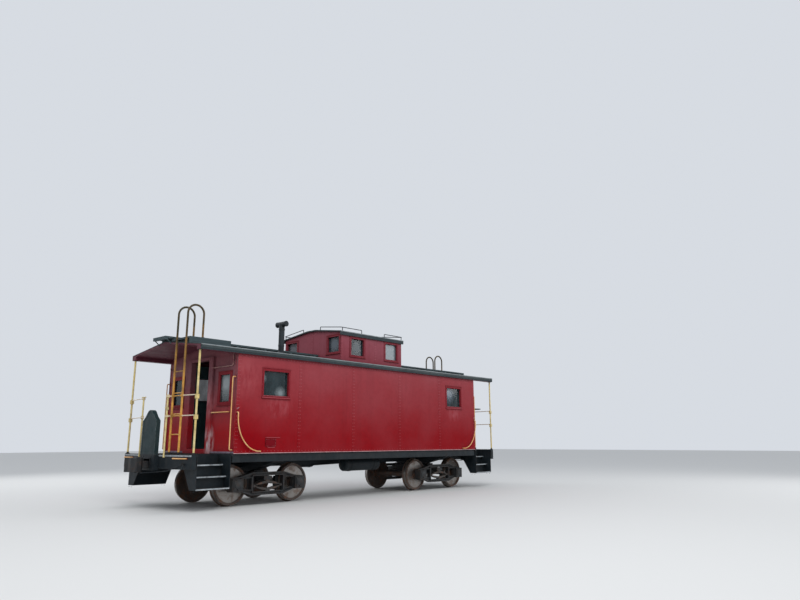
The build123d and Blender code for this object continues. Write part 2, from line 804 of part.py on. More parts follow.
# Roof walks: three boards along the ridge at each end, and a platform beside each ladder
board_width = 166.0
cleat_width = 60.0
walk_parts = ((180, cupola_length / 2 - cupola_x), (0, cupola_length / 2 + cupola_x))  # turn, cupola wall x
brace_radius = 11.0
brace_y = walk_half_width - 15
lateral_boards = 5
lateral_gap = 12.0
lateral_cleat = 50.0
lateral_cleat_inset = 70.0
lateral_side_board = 20.0
lateral_board_width = (lateral_y[1] - lateral_y[0] - (lateral_boards - 1) * lateral_gap) / lateral_boards
with BuildPart() as roof_walk:
    for turn, start_x in walk_parts:
        with BuildPart(mode=Mode.PRIVATE) as walk:
            for y in (-walk_half_width + board_width / 2, 0, walk_half_width - board_width / 2):
                block(
                    (start_x + 5, y - board_width / 2, walk_top_z - walk_board),
                    (walk_end_x, y + board_width / 2, walk_top_z),
                )
            cleats = [start_x + 80 + i * (roof_half_length - start_x - 200) / 5 for i in range(6)]
            for x in cleats:
                with BuildSketch(Plane.YZ.offset(x)):
                    with BuildLine():
                        Polyline(
                            (-walk_half_width, walk_top_z - walk_board),
                            (-walk_half_width, roof_top_z(walk_half_width)),
                            (0, ridge_z),
                            (walk_half_width, roof_top_z(walk_half_width)),
                            (walk_half_width, walk_top_z - walk_board),
                            close=True,
                        )
                    make_face()
                extrude(amount=cleat_width)
            block(
                (walk_end_x - cleat_width, -walk_half_width, walk_top_z - walk_board - 30),
                (walk_end_x, walk_half_width, walk_top_z - walk_board),
            )
            for y in (-brace_y, brace_y):
                lug_z = roof_top_z(walk_half_width) - 10
                block(
                    (roof_half_length + seat_gap, y - brace_radius, lug_z - 30),
                    (roof_half_length + 14, y + brace_radius, lug_z),
                )
                bar(
                    (roof_half_length + 8, y, lug_z - brace_radius - 3),
                    (walk_end_x - 30, y, walk_top_z - walk_board - 10),
                    brace_radius,
                )
        add(walk.part.rotate(Axis.Z, turn))
        with BuildPart(mode=Mode.PRIVATE) as lateral:
            for i in range(lateral_boards):
                board_y = lateral_y[0] + i * (lateral_board_width + lateral_gap)
                block(
                    (lateral_start_x, board_y, lateral_top_z - walk_board),
                    (lateral_end_x, board_y + lateral_board_width, lateral_top_z),
                )
            first_cleat_x = lateral_start_x + lateral_cleat_inset
            last_cleat_x = lateral_end_x - lateral_cleat_inset - lateral_cleat
            for x in (first_cleat_x, (first_cleat_x + last_cleat_x) / 2, last_cleat_x):
                with BuildSketch(Plane.YZ.offset(x)):
                    with BuildLine():
                        Polyline(
                            (lateral_y[0], lateral_top_z - walk_board),
                            (lateral_y[0], roof_top_z(lateral_y[0])),
                            (lateral_y[1], roof_top_z(lateral_y[1])),
                            (lateral_y[1], lateral_top_z - walk_board),
                            close=True,
                        )
                    make_face()
                extrude(amount=lateral_cleat)
            side_board_y = lateral_y[1] - lateral_side_board
            with BuildSketch(Plane.YZ.offset(lateral_start_x)):
                with BuildLine():
                    Polyline(
                        (side_board_y, lateral_top_z - walk_board),
                        (side_board_y, roof_top_z(side_board_y)),
                        (lateral_y[1], roof_top_z(lateral_y[1])),
                        (lateral_y[1], lateral_top_z - walk_board),
                        close=True,
                    )
                make_face()
            extrude(amount=lateral_end_x - lateral_start_x)
        add(lateral.part.rotate(Axis.Z, turn))
roof_walk.part.label = "roof_walk"
export_step(roof_walk.part, "parts/roof_walk.step")

# Smoke jack with its flashing and T-shaped cap
with BuildPart() as smoke_jack:
    bar((jack_x, jack_y, eave_top_z), (jack_x, jack_y, jack_top_z), jack_radius)
    bar(
        (jack_x, jack_y - jack_cap_length / 2, jack_top_z),
        (jack_x, jack_y + jack_cap_length / 2, jack_top_z),
        jack_cap_radius,
    )
    with Locations((jack_x, jack_y, roof_top_z(jack_y) + 20)):
        Cone(jack_flashing_radius, jack_radius, jack_flashing_height)
    with BuildSketch(Plane.YZ.offset(jack_x - 2 * jack_flashing_radius)):
        with BuildLine():
            Polyline(
                (-roof_half_width, wall_top_z),
                (-roof_half_width, eave_top_z),
                (0, ridge_z),
                (roof_half_width, eave_top_z),
                (roof_half_width, wall_top_z),
                close=True,
            )
        make_face()
    extrude(amount=4 * jack_flashing_radius, mode=Mode.SUBTRACT)
smoke_jack.part.label = "smoke_jack"
export_step(smoke_jack.part, "parts/smoke_jack.step")

# Grab irons: curved ones on the sides, straight ones on the ends and the end sills
grab_radius = 12.0
grab_stand = 60.0
grab_bend = 25.0
grab_y = half_width + grab_stand
curve_reach = 575.0
curve_drop = 730.0
curve_top = {"x": half_length - 32, "z": sheet_bottom_z + 851}
curve_bottom = {"x": half_length - 642, "z": sheet_bottom_z + 42}
curve_centre = {"x": curve_top["x"] - curve_reach, "z": curve_bottom["z"] + curve_drop}
curve_shares = [i * pi / 16 for i in range(9)]
end_grab = {"y": half_width - 45, "low": sheet_bottom_z + 75, "high": sheet_bottom_z + 1600, "stand": 80.0}
cross_grab = {"inner": doorway_width / 2 + door_trim_width + 45, "outer": half_width - 235, "stand": 62.0}
cross_grab_z = sheet_bottom_z + 863
sill_grab = {"inner": half_width - 535, "outer": half_width - 145, "stand": 60.0}
sill_grab_z = deck_z - 77


def curved_grab(along, side):
    bend = grab_bend * (1 - sin(pi / 4))
    bent = [
        (along * curve_top["x"], side * (grab_y - bend), curve_top["z"] - bend),
        (along * (curve_bottom["x"] + bend), side * (grab_y - bend), curve_bottom["z"]),
    ]
    sweep_points = [
        (
            along * (curve_centre["x"] + curve_reach * cos(share)),
            side * grab_y,
            curve_centre["z"] - curve_drop * sin(share),
        )
        for share in curve_shares
    ]
    top_in = (along * curve_top["x"], side * (grab_y - grab_bend), curve_top["z"])
    top_down = (along * curve_top["x"], side * grab_y, curve_top["z"] - grab_bend)
    bottom_out = (along * (curve_bottom["x"] + grab_bend), side * grab_y, curve_bottom["z"])
    bottom_in = (along * curve_bottom["x"], side * (grab_y - grab_bend), curve_bottom["z"])
    with BuildLine() as path:
        Line((top_in[0], side * half_width, top_in[2]), top_in)
        ThreePointArc(top_in, bent[0], top_down)
        Line(top_down, sweep_points[0])
        Spline(*sweep_points, tangents=[(0, 0, -1), (-along, 0, 0)])
        Line(sweep_points[-1], bottom_out)
        ThreePointArc(bottom_out, bent[1], bottom_in)
        Line(bottom_in, (bottom_in[0], side * half_width, bottom_in[2]))
    with BuildSketch(Plane(origin=(top_in[0], side * half_width, top_in[2]), z_dir=(0, side, 0))) as section:
        Circle(grab_radius)
    sweep(section.sketch, path=path.line)


with BuildPart() as cabin_grab_irons:
    for along in (-1, 1):
        for side in (-1, 1):
            curved_grab(along, side)
            end_x = along * (half_length + end_grab["stand"])
            rod(
                [
                    (along * half_length, side * end_grab["y"], end_grab["high"]),
                    (end_x, side * end_grab["y"], end_grab["high"]),
                    (end_x, side * end_grab["y"], end_grab["low"]),
                    (along * half_length, side * end_grab["y"], end_grab["low"]),
                ],
                [grab_bend, grab_bend],
                grab_radius,
            )
            sill_rod = [
                (along * (bow_x(y - inset) + stand), side * y, sill_grab_z)
                for y, inset, stand in (
                    (sill_grab["outer"], grab_radius, seat_gap),
                    (sill_grab["outer"], 0, sill_grab["stand"]),
                    (sill_grab["inner"], 0, sill_grab["stand"]),
                    (sill_grab["inner"], grab_radius, seat_gap),
                )
            ]
            rod(sill_rod, [0.8 * grab_bend, 0.8 * grab_bend], grab_radius)
        cross_x = along * (half_length + cross_grab["stand"])
        rod(
            [
                (along * half_length, along * cross_grab["outer"], cross_grab_z),
                (cross_x, along * cross_grab["outer"], cross_grab_z),
                (cross_x, along * cross_grab["inner"], cross_grab_z),
                (along * half_length, along * cross_grab["inner"], cross_grab_z),
            ],
            [0.8 * grab_bend, 0.8 * grab_bend],
            grab_radius,
        )
cabin_grab_irons.part.label = "cabin_grab_irons"
export_step(cabin_grab_irons.part, "parts/cabin_grab_irons.step")

# Low L-shaped grab irons on the cupola roof's corners
cupola_grab_radius = 10.0
cupola_grab_rise = 90.0
cupola_grab_bend = 40.0
cupola_grab_inset = 27.0
cupola_grab_along = 730.0
cupola_grab_across = 820.0
cupola_slope = cupola_roof_rise / (cupola_eave_y - cupola_ridge_flat)
cupola_seat = cupola_grab_radius * cupola_slope + seat_gap
with BuildPart() as cupola_grab_irons:
    for along in (-1, 1):
        for side in (-1, 1):
            corner_x = cupola_x + along * (cupola_roof_length / 2 - cupola_grab_inset)
            corner_y = side * (cupola_eave_y - cupola_grab_inset)
            reach_x = corner_x - along * cupola_grab_along
            reach_y = corner_y - side * cupola_grab_across
            corner_low = cupola_top_z(corner_y) + cupola_seat
            reach_low = cupola_top_z(reach_y) + cupola_seat
            rod(
                [
                    (reach_x, corner_y, corner_low),
                    (reach_x, corner_y, corner_low + cupola_grab_rise),
                    (corner_x, corner_y, corner_low + cupola_grab_rise),
                    (corner_x, reach_y, reach_low + cupola_grab_rise),
                    (corner_x, reach_y, reach_low),
                ],
                [cupola_grab_bend / 2, cupola_grab_bend, cupola_grab_bend / 2],
                cupola_grab_radius,
            )
            bar(
                (corner_x - along * cupola_grab_bend, corner_y, corner_low + cupola_grab_rise),
                (corner_x - along * cupola_grab_bend, corner_y, corner_low),
                cupola_grab_radius,
            )
cupola_grab_irons.part.label = "cupola_grab_irons"
export_step(cupola_grab_irons.part, "parts/cupola_grab_irons.step")

# Coupler: shank, head with guard arm, and the shut knuckle
face_x = deck_nose_x + coupler_reach
head_bottom_z = coupler_z - coupler_head_height / 2
with BuildPart() as coupler:
    block(
        (face_x - shank_inset - shank_length, -shank_width / 2, coupler_z - shank_height / 2),
        (face_x - shank_inset, shank_width / 2, coupler_z + shank_height / 2),
    )
    with BuildSketch(Plane.XY.offset(head_bottom_z)):
        with BuildLine():
            Polyline(
                (face_x - 260, -65),
                (face_x - 190, -130),
                (face_x - 60, -215),
                (face_x, -200),
                (face_x - 35, -120),
                (face_x - 95, -80),
                (face_x - 100, 60),
                (face_x - 90, 150),
                (face_x - 190, 140),
                (face_x - 260, 65),
                close=True,
            )
        make_face()
    extrude(amount=coupler_head_height)
    with BuildSketch(Plane.XY.offset(head_bottom_z + 10)):
        with BuildLine():
            Line((face_x - 110, 60), (face_x - 110, 155))
            ThreePointArc((face_x - 110, 155), (face_x - 30, 125), (face_x, 40))
            Line((face_x, 40), (face_x, -30))
            ThreePointArc((face_x, -30), (face_x - 20, -50), (face_x - 45, -35))
            Line((face_x - 45, -35), (face_x - 50, 30))
            ThreePointArc((face_x - 50, 30), (face_x - 70, 55), (face_x - 110, 60))
        make_face()
    extrude(amount=coupler_head_height - 20)
export_both_ends(coupler.part, "coupler")

# Uncoupling rods: from under each coupler's head they rise along the end sill to the corner
lever_radius = 9.0
lever_stand = 45.0
lever_low_z = head_bottom_z - lever_radius - 3
lever_ends = ((750.0, lever_low_z + 46), (1250.0, lever_low_z + 186))  # y and z where it rises
lever_brackets = (0.35, 0.92)  # shares of the rising part
with BuildPart() as uncoupling_rods:
    for turn in (180, 0):
        with BuildPart(mode=Mode.PRIVATE) as lever:
            low, high = [(bow_x(y) + lever_stand, y, z) for y, z in lever_ends]
            rod(
                [
                    (face_x - 225, 60, lever_low_z),
                    (face_x - 225, 170, lever_low_z),
                    (bow_x(320) + lever_stand, 330, lever_low_z + 16),
                    low,
                    high,
                    (high[0] + 60, high[1] + 50, high[2] - 110),
                ],
                [20, 40, 60, 30],
                lever_radius,
            )
            for share in lever_brackets:
                x, y, z = [a + share * (b - a) for a, b in zip(low, high)]
                block(
                    (bow_x(y - 15) + seat_gap, y - 15, z - 18),
                    (x + 2 * lever_radius, y + 15, z + 18),
                )
        add(lever.part.rotate(Axis.Z, turn))
uncoupling_rods.part.label = "uncoupling_rods"
export_step(uncoupling_rods.part, "parts/uncoupling_rods.step")

# Hand brake at end B: staff, ratchet and horizontal wheel
brake_x = deck_corner_x + 5
brake_y = -720.0
brake_wheel_z = deck_z + 1270
brake_wheel_radius = 220.0
brake_rim_radius = 12.0
brake_staff_radius = 14.0
brake_base_radius = 55.0
with BuildPart() as hand_brake:
    bar((brake_x, brake_y, deck_z), (brake_x, brake_y, brake_wheel_z + 20), brake_staff_radius)
    with Locations((brake_x, brake_y, deck_z + 25)):
        Cylinder(brake_base_radius, 50)
    with Locations((brake_x, brake_y, brake_wheel_z)):
        Torus(brake_wheel_radius, brake_rim_radius)
    for i in range(5):
        spoke = Vector(1, 0, 0).rotate(Axis.Z, 72 * i + 36)
        hub = Vector(brake_x, brake_y, brake_wheel_z)
        bar(hub + spoke * 24, hub + spoke * brake_wheel_radius, 9)
    with Locations((brake_x, brake_y, brake_wheel_z)):
        Cylinder(36, 40)
    block(
        (brake_x, brake_y - 15, rail_heights[1] - 15),
        (rail_x(brake_y - 15) - rail_radius - 1, brake_y + 15, rail_heights[1] + 15),
    )
hand_brake.part.label = "hand_brake"
export_step(hand_brake.part, "parts/hand_brake.step")

# Air reservoir and brake cylinder, strapped under the cross bearers
hanger_z = sheet_bottom_z - cross_bearer_depth
tanks = ((0.0, -800.0, 170.0, 1150.0, (-400.0, 400.0)), (-800.0, 780.0, 140.0, 960.0, (-1200.0, -400.0)))
with BuildPart() as air_brake_tanks:
    for x, y, radius, length, straps in tanks:
        z = hanger_z - 12 - radius
        with BuildSketch(Plane.YZ.offset(x - length / 2)):
            with Locations((y, z)):
                Circle(radius)
        extrude(amount=length)
        for strap_x in straps:
            with BuildSketch(Plane.YZ.offset(strap_x - 25)):
                with Locations((y, z)):
                    Circle(radius + 8)
                with Locations((y, (z + hanger_z) / 2)):
                    Rectangle(120, hanger_z - z)
            extrude(amount=50)
air_brake_tanks.part.label = "air_brake_tanks"
export_step(air_brake_tanks.part, "parts/air_brake_tanks.step")

# Truck side frames, drawn about the truck's own centre: cast I-section with three windows
frame_top_z = 700.0
frame_bottom_z = 215.0
chord = 76.0
bolster_window = 400.0
box_low_z = axle_z - journal_box_height / 2
box_high_z = axle_z + journal_box_height / 2
box_in_x = axle_x - journal_box_length / 2
box_out_x = axle_x + journal_box_length / 2


def side_frame_outline():
    with BuildLine() as edge:
        half = [
            (430, frame_top_z),
            (box_in_x + 20, box_high_z + 40),
            (box_out_x, box_high_z + 10),
            (box_out_x, box_low_z),
            (box_in_x, box_low_z),
            (430, frame_bottom_z),
        ]
        Polyline(*half, *[(-x, z) for x, z in reversed(half)], close=True)
    make_face(edge.edges())


def side_frame_windows(mode, grow=0.0):
    with Locations((0, (frame_top_z + frame_bottom_z) / 2)):
        Rectangle(
            2 * bolster_window + 2 * grow,
            frame_top_z - frame_bottom_z - 2 * chord + 2 * grow,
            mode=mode,
        )
    for along in (-1, 1):
        with BuildLine() as edge:
            Polyline(
                (along * (bolster_window + 52 - grow), frame_top_z - chord - 40 + grow),
                (along * (bolster_window + 52 - grow), frame_bottom_z + chord + 50 - grow),
                (along * (box_in_x - 20 + grow), box_low_z + 50 - grow),
                (along * (box_in_x - 20 + grow), box_high_z - 10 + grow),
                close=True,
            )
        make_face(edge.edges(), mode=mode)


side_frame_mid_y = side_frame_y + side_frame_width / 2
with BuildPart() as truck_frame:
    with BuildSketch(Plane.XZ.offset(-side_frame_mid_y - side_frame_web / 2)):
        side_frame_outline()
        side_frame_windows(Mode.SUBTRACT)
    extrude(amount=side_frame_web)
    with BuildSketch(Plane.XZ.offset(-side_frame_mid_y - side_frame_width / 2)):
        side_frame_outline()
        offset(amount=-side_frame_rim, mode=Mode.SUBTRACT)
        side_frame_windows(Mode.ADD, 22)
        side_frame_windows(Mode.SUBTRACT)
    extrude(amount=side_frame_width)
    for along in (-1, 1):
        block(
            (along * axle_x - journal_box_length / 2, side_frame_y - 20, box_low_z),
            (along * axle_x + journal_box_length / 2, side_frame_y - 20 + journal_box_width, box_high_z),
        )
        block(
            (along * axle_x - 100, side_frame_y - 20 + journal_box_width, box_low_z + 40),
            (along * axle_x + 100, side_frame_y - 5 + journal_box_width, box_high_z - 20),
        )
        with BuildSketch(Plane.XZ.offset(-side_frame_y + 21)):
            with Locations((along * axle_x, axle_z)):
                Circle(journal_radius + journal_clearance)
        extrude(amount=-(journal_end + 3 - side_frame_y + 21), mode=Mode.SUBTRACT)
    mirror(about=Plane.XZ)

# Truck bolster with centre plate, side bearings, brake beams and shoes
shoe_gap = 12.0
shoe_y = back_to_back / 2 + flange_width + 62
beam_x = axle_x - tread_radius - shoe_gap - 88
bolster_end_y = side_frame_y + side_frame_width - 5
spring_top_z = 530.0
with BuildPart() as truck_bolster:
    with BuildSketch(Plane.YZ.offset(-bolster_width / 2)):
        with BuildLine():
            half = [
                (250, bolster_top_z),
                (700, bolster_top_z - 24),
                (840, bolster_top_z - 67),
                (bolster_end_y, bolster_top_z - 67),
                (bolster_end_y, spring_top_z),
                (820, spring_top_z),
                (600, 440),
            ]
            Polyline(*half, *[(-y, z) for y, z in reversed(half)], close=True)
        make_face()
    extrude(amount=bolster_width)
    with BuildSketch(Plane.XY.offset(bolster_top_z - 5)):
        Circle(centre_plate_radius)
    extrude(amount=bolster_seat_z - seat_gap - bolster_top_z + 5)
    for side in (-1, 1):
        block((-90, side * 635 - 50, bolster_top_z - 40), (90, side * 635 + 50, bolster_top_z + 49))
        for along in (-1, 1):
            block(
                (min(along * 100, along * (beam_x + 20)), side * 450 - 25, 445),
                (max(along * 100, along * (beam_x + 20)), side * 450 + 25, 485),
            )
            with BuildSketch(Plane.XZ.offset(-side * shoe_y - 45)):
                with Locations((along * (axle_x - tread_radius - shoe_gap - 25), axle_z)):
                    Rectangle(80, 300)
                with Locations((along * axle_x, axle_z)):
                    Circle(tread_radius + shoe_gap, mode=Mode.SUBTRACT)
            extrude(amount=90)
    for along in (-1, 1):
        with Locations((along * beam_x, 0, 465)):
            Box(50, 2 * shoe_y + 90, 50)

# Full-elliptic leaf springs between each side frame's lower chord and the bolster's end
leaf_thickness = 12.0
leaf_count = 4
leaf_step = 0.17  # each leaf is shorter than the one outside it by this share
spring_half = 360.0
spring_seat = 20.0
spring_seat_length = 110.0
spring_eye = 26.0
spring_width = 90.0
spring_low_z = frame_bottom_z + chord
spring_mid_z = (spring_top_z + spring_low_z) / 2
spring_rise = (spring_top_z - spring_low_z) / 2 - spring_seat
leaf_radius = (spring_half**2 + spring_rise**2) / (2 * spring_rise)
leaf_centre = spring_rise - leaf_radius
leaf_angle = asin(spring_half / leaf_radius)


def leaf_point(up, inset, share):
    radius = leaf_radius - inset * leaf_thickness
    angle = leaf_angle * share
    return (radius * sin(angle), spring_mid_z + up * (leaf_centre + radius * cos(angle)))


with BuildPart() as truck_springs:
    for side in (-1, 1):
        with BuildSketch(Plane.XZ.offset(-side * side_frame_mid_y - spring_width / 2)):
            for up in (-1, 1):
                with BuildLine():
                    shares = [1 - leaf_step * i for i in range(leaf_count)]
                    ThreePointArc(leaf_point(up, 0, -1), leaf_point(up, 0, 0), leaf_point(up, 0, 1))
                    for end in (-1, 1):
                        for i, share in enumerate(shares):
                            Line(leaf_point(up, i, end * share), leaf_point(up, i + 1, end * share))
                            if i + 1 < leaf_count:
                                ThreePointArc(
                                    leaf_point(up, i + 1, end * share),
                                    leaf_point(up, i + 1, end * (share + shares[i + 1]) / 2),
                                    leaf_point(up, i + 1, end * shares[i + 1]),
                                )
                    ThreePointArc(
                        leaf_point(up, leaf_count, -shares[-1]),
                        leaf_point(up, leaf_count, 0),
                        leaf_point(up, leaf_count, shares[-1]),
                    )
                make_face()
                with Locations((0, spring_mid_z + up * spring_rise)):
                    Rectangle(spring_seat_length, 2 * spring_seat)
            with Locations((-spring_half, spring_mid_z), (spring_half, spring_mid_z)):
                Circle(spring_eye)
        extrude(amount=spring_width)

# Wheelset: axle with two flanged wheels, one turned profile
wheel_in_y = back_to_back / 2
wheel_out_y = wheel_in_y + wheel_width
rim_radius = tread_radius - rim_thickness
with BuildPart() as wheelset:
    with BuildSketch(Plane(origin=(0, 0, axle_z), x_dir=(0, 1, 0), z_dir=(1, 0, 0))):
        with BuildLine():
            Polyline(
                (wheel_in_y + 4, tread_radius + 12),
                (wheel_in_y, tread_radius + 4),
                (wheel_in_y, rim_radius),
                (wheel_in_y + 14, rim_radius - 30),
                (wheel_in_y + 34, 190),
                (wheel_in_y + 20, 150),
                (wheel_in_y - 28, 145),
                (wheel_in_y - 28, 98),
                (wheel_in_y - 90, axle_radius + 4),
                (0, axle_radius),
                (0, 0),
                (journal_end, 0),
                (journal_end, journal_radius),
                (journal_start, journal_radius),
                (journal_start - 12, 92),
                (wheel_out_y + 12, 98),
                (wheel_out_y + 12, 145),
                (wheel_out_y - 44, 150),
                (wheel_out_y - 64, 190),
                (wheel_out_y - 88, rim_radius - 30),
                (wheel_out_y - 70, rim_radius),
                (wheel_out_y, rim_radius),
                (wheel_out_y, tread_radius - 5),
                (wheel_in_y + flange_width + 12, tread_radius),
                (wheel_in_y + flange_width - 8, tread_radius + 12),
            )
            ThreePointArc(
                (wheel_in_y + flange_width - 8, tread_radius + 12),
                (wheel_in_y + 13, axle_z),
                (wheel_in_y + 4, tread_radius + 12),
            )
        make_face()
    revolve(axis=Axis((0, 0, axle_z), (0, 1, 0)))
    mirror(about=Plane.XZ)

for end, turn in ends:
    centre = truck_centre if end == "b" else -truck_centre
    for shape, name in (
        (truck_frame.part, "side_frames"),
        (truck_bolster.part, "bolster"),
        (truck_springs.part, "springs"),
    ):
        piece = shape.moved(Location((centre, 0, 0)))
        piece.label = f"truck_{end}_{name}"
        export_step(piece, f"parts/truck_{end}_{name}.step")
    for number, x in ((1, -axle_x), (2, axle_x)):
        piece = wheelset.part.moved(Location((centre + x, 0, 0)))
        piece.label = f"wheelset_{end}{number}"
        export_step(piece, f"parts/wheelset_{end}{number}.step")
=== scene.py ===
import math

import bmesh
import bpy
from mathutils import Matrix, Vector, noise


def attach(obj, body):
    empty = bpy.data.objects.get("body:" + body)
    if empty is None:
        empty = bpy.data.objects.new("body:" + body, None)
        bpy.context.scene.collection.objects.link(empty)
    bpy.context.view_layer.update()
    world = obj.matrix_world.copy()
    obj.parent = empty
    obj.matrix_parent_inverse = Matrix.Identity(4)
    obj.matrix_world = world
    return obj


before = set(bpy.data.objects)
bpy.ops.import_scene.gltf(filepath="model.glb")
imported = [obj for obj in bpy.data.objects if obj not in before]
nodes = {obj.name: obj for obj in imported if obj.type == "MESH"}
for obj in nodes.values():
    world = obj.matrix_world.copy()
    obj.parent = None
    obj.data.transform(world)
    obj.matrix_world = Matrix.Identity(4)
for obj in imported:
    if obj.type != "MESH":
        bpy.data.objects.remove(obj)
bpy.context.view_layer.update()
print("frame loaded:", len(nodes), "nodes")

# Sizes that several pieces share, in metres in the frame of the CAD model
car = {
    "halfLength": 4.267, "halfWidth": 1.435, "sheetLow": 1.118, "sheetHigh": 3.213,
    "roofHalfWidth": 1.500, "roofHalfLength": 5.205, "eaveHigh": 3.323, "ridge": 3.513, "roofRise": 0.190,
    "roofThickness": 0.045, "deck": 1.110, "deckNose": 5.320, "bowRadius": 10.3461,
    "truckCentre": 3.050,
}
cupola = {"x": 0.100, "halfLength": 1.140, "halfWidth": 1.150, "eave": 4.115, "rise": 0.125,
          "eaveY": 1.194, "flat": 0.170, "roofThickness": 0.025, "bandLow": 4.040}
sideWindow = {"x": 3.245, "z": 2.627, "width": 0.700, "height": 0.560, "side": 0.033, "top": 0.054,
              "sash": 0.011, "glass": 0.056, "proud": 0.014}
endWindow = {"y": 0.985, "z": 2.494, "width": 0.450, "height": 0.662, "side": 0.040, "top": 0.040,
             "sash": 0.038, "glass": 0.024, "proud": 0.014}
cupolaSideWindow = {"x": (-0.465, 0.825), "z": 3.768, "width": 0.515, "height": 0.484, "side": 0.026,
                    "top": 0.026, "sash": 0.028, "glass": 0.050, "proud": 0.012}
cupolaEndWindow = {"y": 0.850, "z": 3.818, "width": 0.490, "height": 0.450, "side": 0.026,
                   "top": 0.026, "sash": 0.028, "glass": 0.050, "proud": 0.012}
halfLength, halfWidth, deck = car["halfLength"], car["halfWidth"], car["deck"]
sheetLow, sheetHigh = car["sheetLow"], car["sheetHigh"]
ends = (("a", -1), ("b", 1))
alongX, alongY, alongZ = (1, 0, 0), (0, 1, 0), (0, 0, 1)


# Shapes: each returns a list of points and a list of faces

def boxShape(low, high):
    points = [(x, y, z) for x in (low[0], high[0]) for y in (low[1], high[1]) for z in (low[2], high[2])]
    return points, [(0, 1, 3, 2), (4, 6, 7, 5), (0, 4, 5, 1), (2, 3, 7, 6), (0, 2, 6, 4), (1, 5, 7, 3)]


def centredBox(middle, size):
    return boxShape([m - s / 2 for m, s in zip(middle, size)], [m + s / 2 for m, s in zip(middle, size)])


def prismShape(outline, axis, start, end):
    place = {"x": lambda a, b, d: (d, a, b), "z": lambda a, b, d: (a, b, d)}[axis]
    count = len(outline)
    points = [place(a, b, start) for a, b in outline] + [place(a, b, end) for a, b in outline]
    faces = [tuple(range(count)), tuple(range(2 * count - 1, count - 1, -1))]
    faces += [(i, (i + 1) % count, (i + 1) % count + count, i + count) for i in range(count)]
    return points, faces


def latheShape(profile, middle, axis, sides=24):
    axis = Vector(axis).normalized()
    across = axis.orthogonal().normalized()
    other = axis.cross(across)
    middle = Vector(middle)
    points, faces, rings = [], [], []
    for radius, along in profile:
        if radius < 1e-6:
            rings.append([len(points)])
            points.append(tuple(middle + axis * along))
            continue
        rings.append(list(range(len(points), len(points) + sides)))
        for i in range(sides):
            turn = 2 * math.pi * i / sides
            spoke = across * math.cos(turn) + other * math.sin(turn)
            points.append(tuple(middle + axis * along + spoke * radius))
    for low, high in zip(rings, rings[1:]):
        for i in range(sides):
            j = (i + 1) % sides
            if len(low) == 1:
                faces.append((low[0], high[j], high[i]))
            elif len(high) == 1:
                faces.append((low[i], low[j], high[0]))
            else:
                faces.append((low[i], low[j], high[j], high[i]))
    for ring in (rings[0], rings[-1]):
        if len(ring) > 1:
            faces.append(tuple(ring))
    return points, faces


def bandShape(radius, proud, half, middle, axis, sides):
    inner, top = radius - 0.002, radius + proud
    profile = [(inner, -half), (top, -half), (top, half), (inner, half)]
    return latheShape(profile, middle, axis, sides)


# radius and height of each kind of rivet, bolt or screw head
heads = {
    "sheetRivet": (0.0105, 0.0060), "endRivet": (0.011, 0.0065), "gableRivet": (0.008, 0.004),
    "cupolaRivet": (0.0075, 0.004), "endSillRivet": (0.012, 0.007), "sideSillRivet": (0.011, 0.006),
    "truckRivet": (0.011, 0.007), "screw": (0.006, 0.003), "walkBolt": (0.010, 0.004),
    "jackNut": (0.011, 0.012), "bufferBolt": (0.015, 0.010), "stepBolt": (0.010, 0.006),
    "rimBolt": (0.009, 0.005), "shieldBolt": (0.014, 0.008), "collarBolt": (0.010, 0.007),
    "railBolt": (0.008, 0.005), "flangeBolt": (0.007, 0.006), "grabBolt": (0.007, 0.004),
    "journalBolt": (0.014, 0.011), "springPin": (0.017, 0.007),
}


def domes(places, axis, head, sides=6):
    radius, height = heads[head]
    profile = [(radius, -0.001), (radius * 0.86, height * 0.6), (0, height)]
    return [latheShape(profile, place, axis, sides) for place in places]


def tubeShape(path, radius, sides=10):
    path = [Vector(p) for p in path]
    headings = [(b - a).normalized() for a, b in zip(path, path[1:])]
    headings = [headings[0]] + [(a + b).normalized() for a, b in zip(headings, headings[1:])] + [headings[-1]]
    across = headings[0].orthogonal().normalized()
    points, faces = [], []
    for point, heading in zip(path, headings):
        across = (across - heading * across.dot(heading)).normalized()
        other = heading.cross(across)
        for i in range(sides):
            turn = 2 * math.pi * i / sides
            points.append(tuple(point + (across * math.cos(turn) + other * math.sin(turn)) * radius))
    for ring in range(len(path) - 1):
        for i in range(sides):
            j = (i + 1) % sides
            a = ring * sides
            faces.append((a + i, a + j, a + sides + j, a + sides + i))
    faces.append(tuple(range(sides)))
    faces.append(tuple(range(len(points) - sides, len(points))))
    return points, faces


def bentRod(corners, bend, radius, sides=10, steps=5):
    corners = [Vector(c) for c in corners]
    path = [corners[0]]
    for before, corner, after in zip(corners, corners[1:], corners[2:]):
        toBefore, toAfter = (before - corner), (after - corner)
        reach = min(bend, toBefore.length * 0.45, toAfter.length * 0.45)
        start, end = corner + toBefore.normalized() * reach, corner + toAfter.normalized() * reach
        for i in range(steps + 1):
            t = i / steps
            path.append(start * (1 - t) ** 2 + corner * 2 * t * (1 - t) + end * t ** 2)
    return tubeShape(path + [corners[-1]], radius, sides)


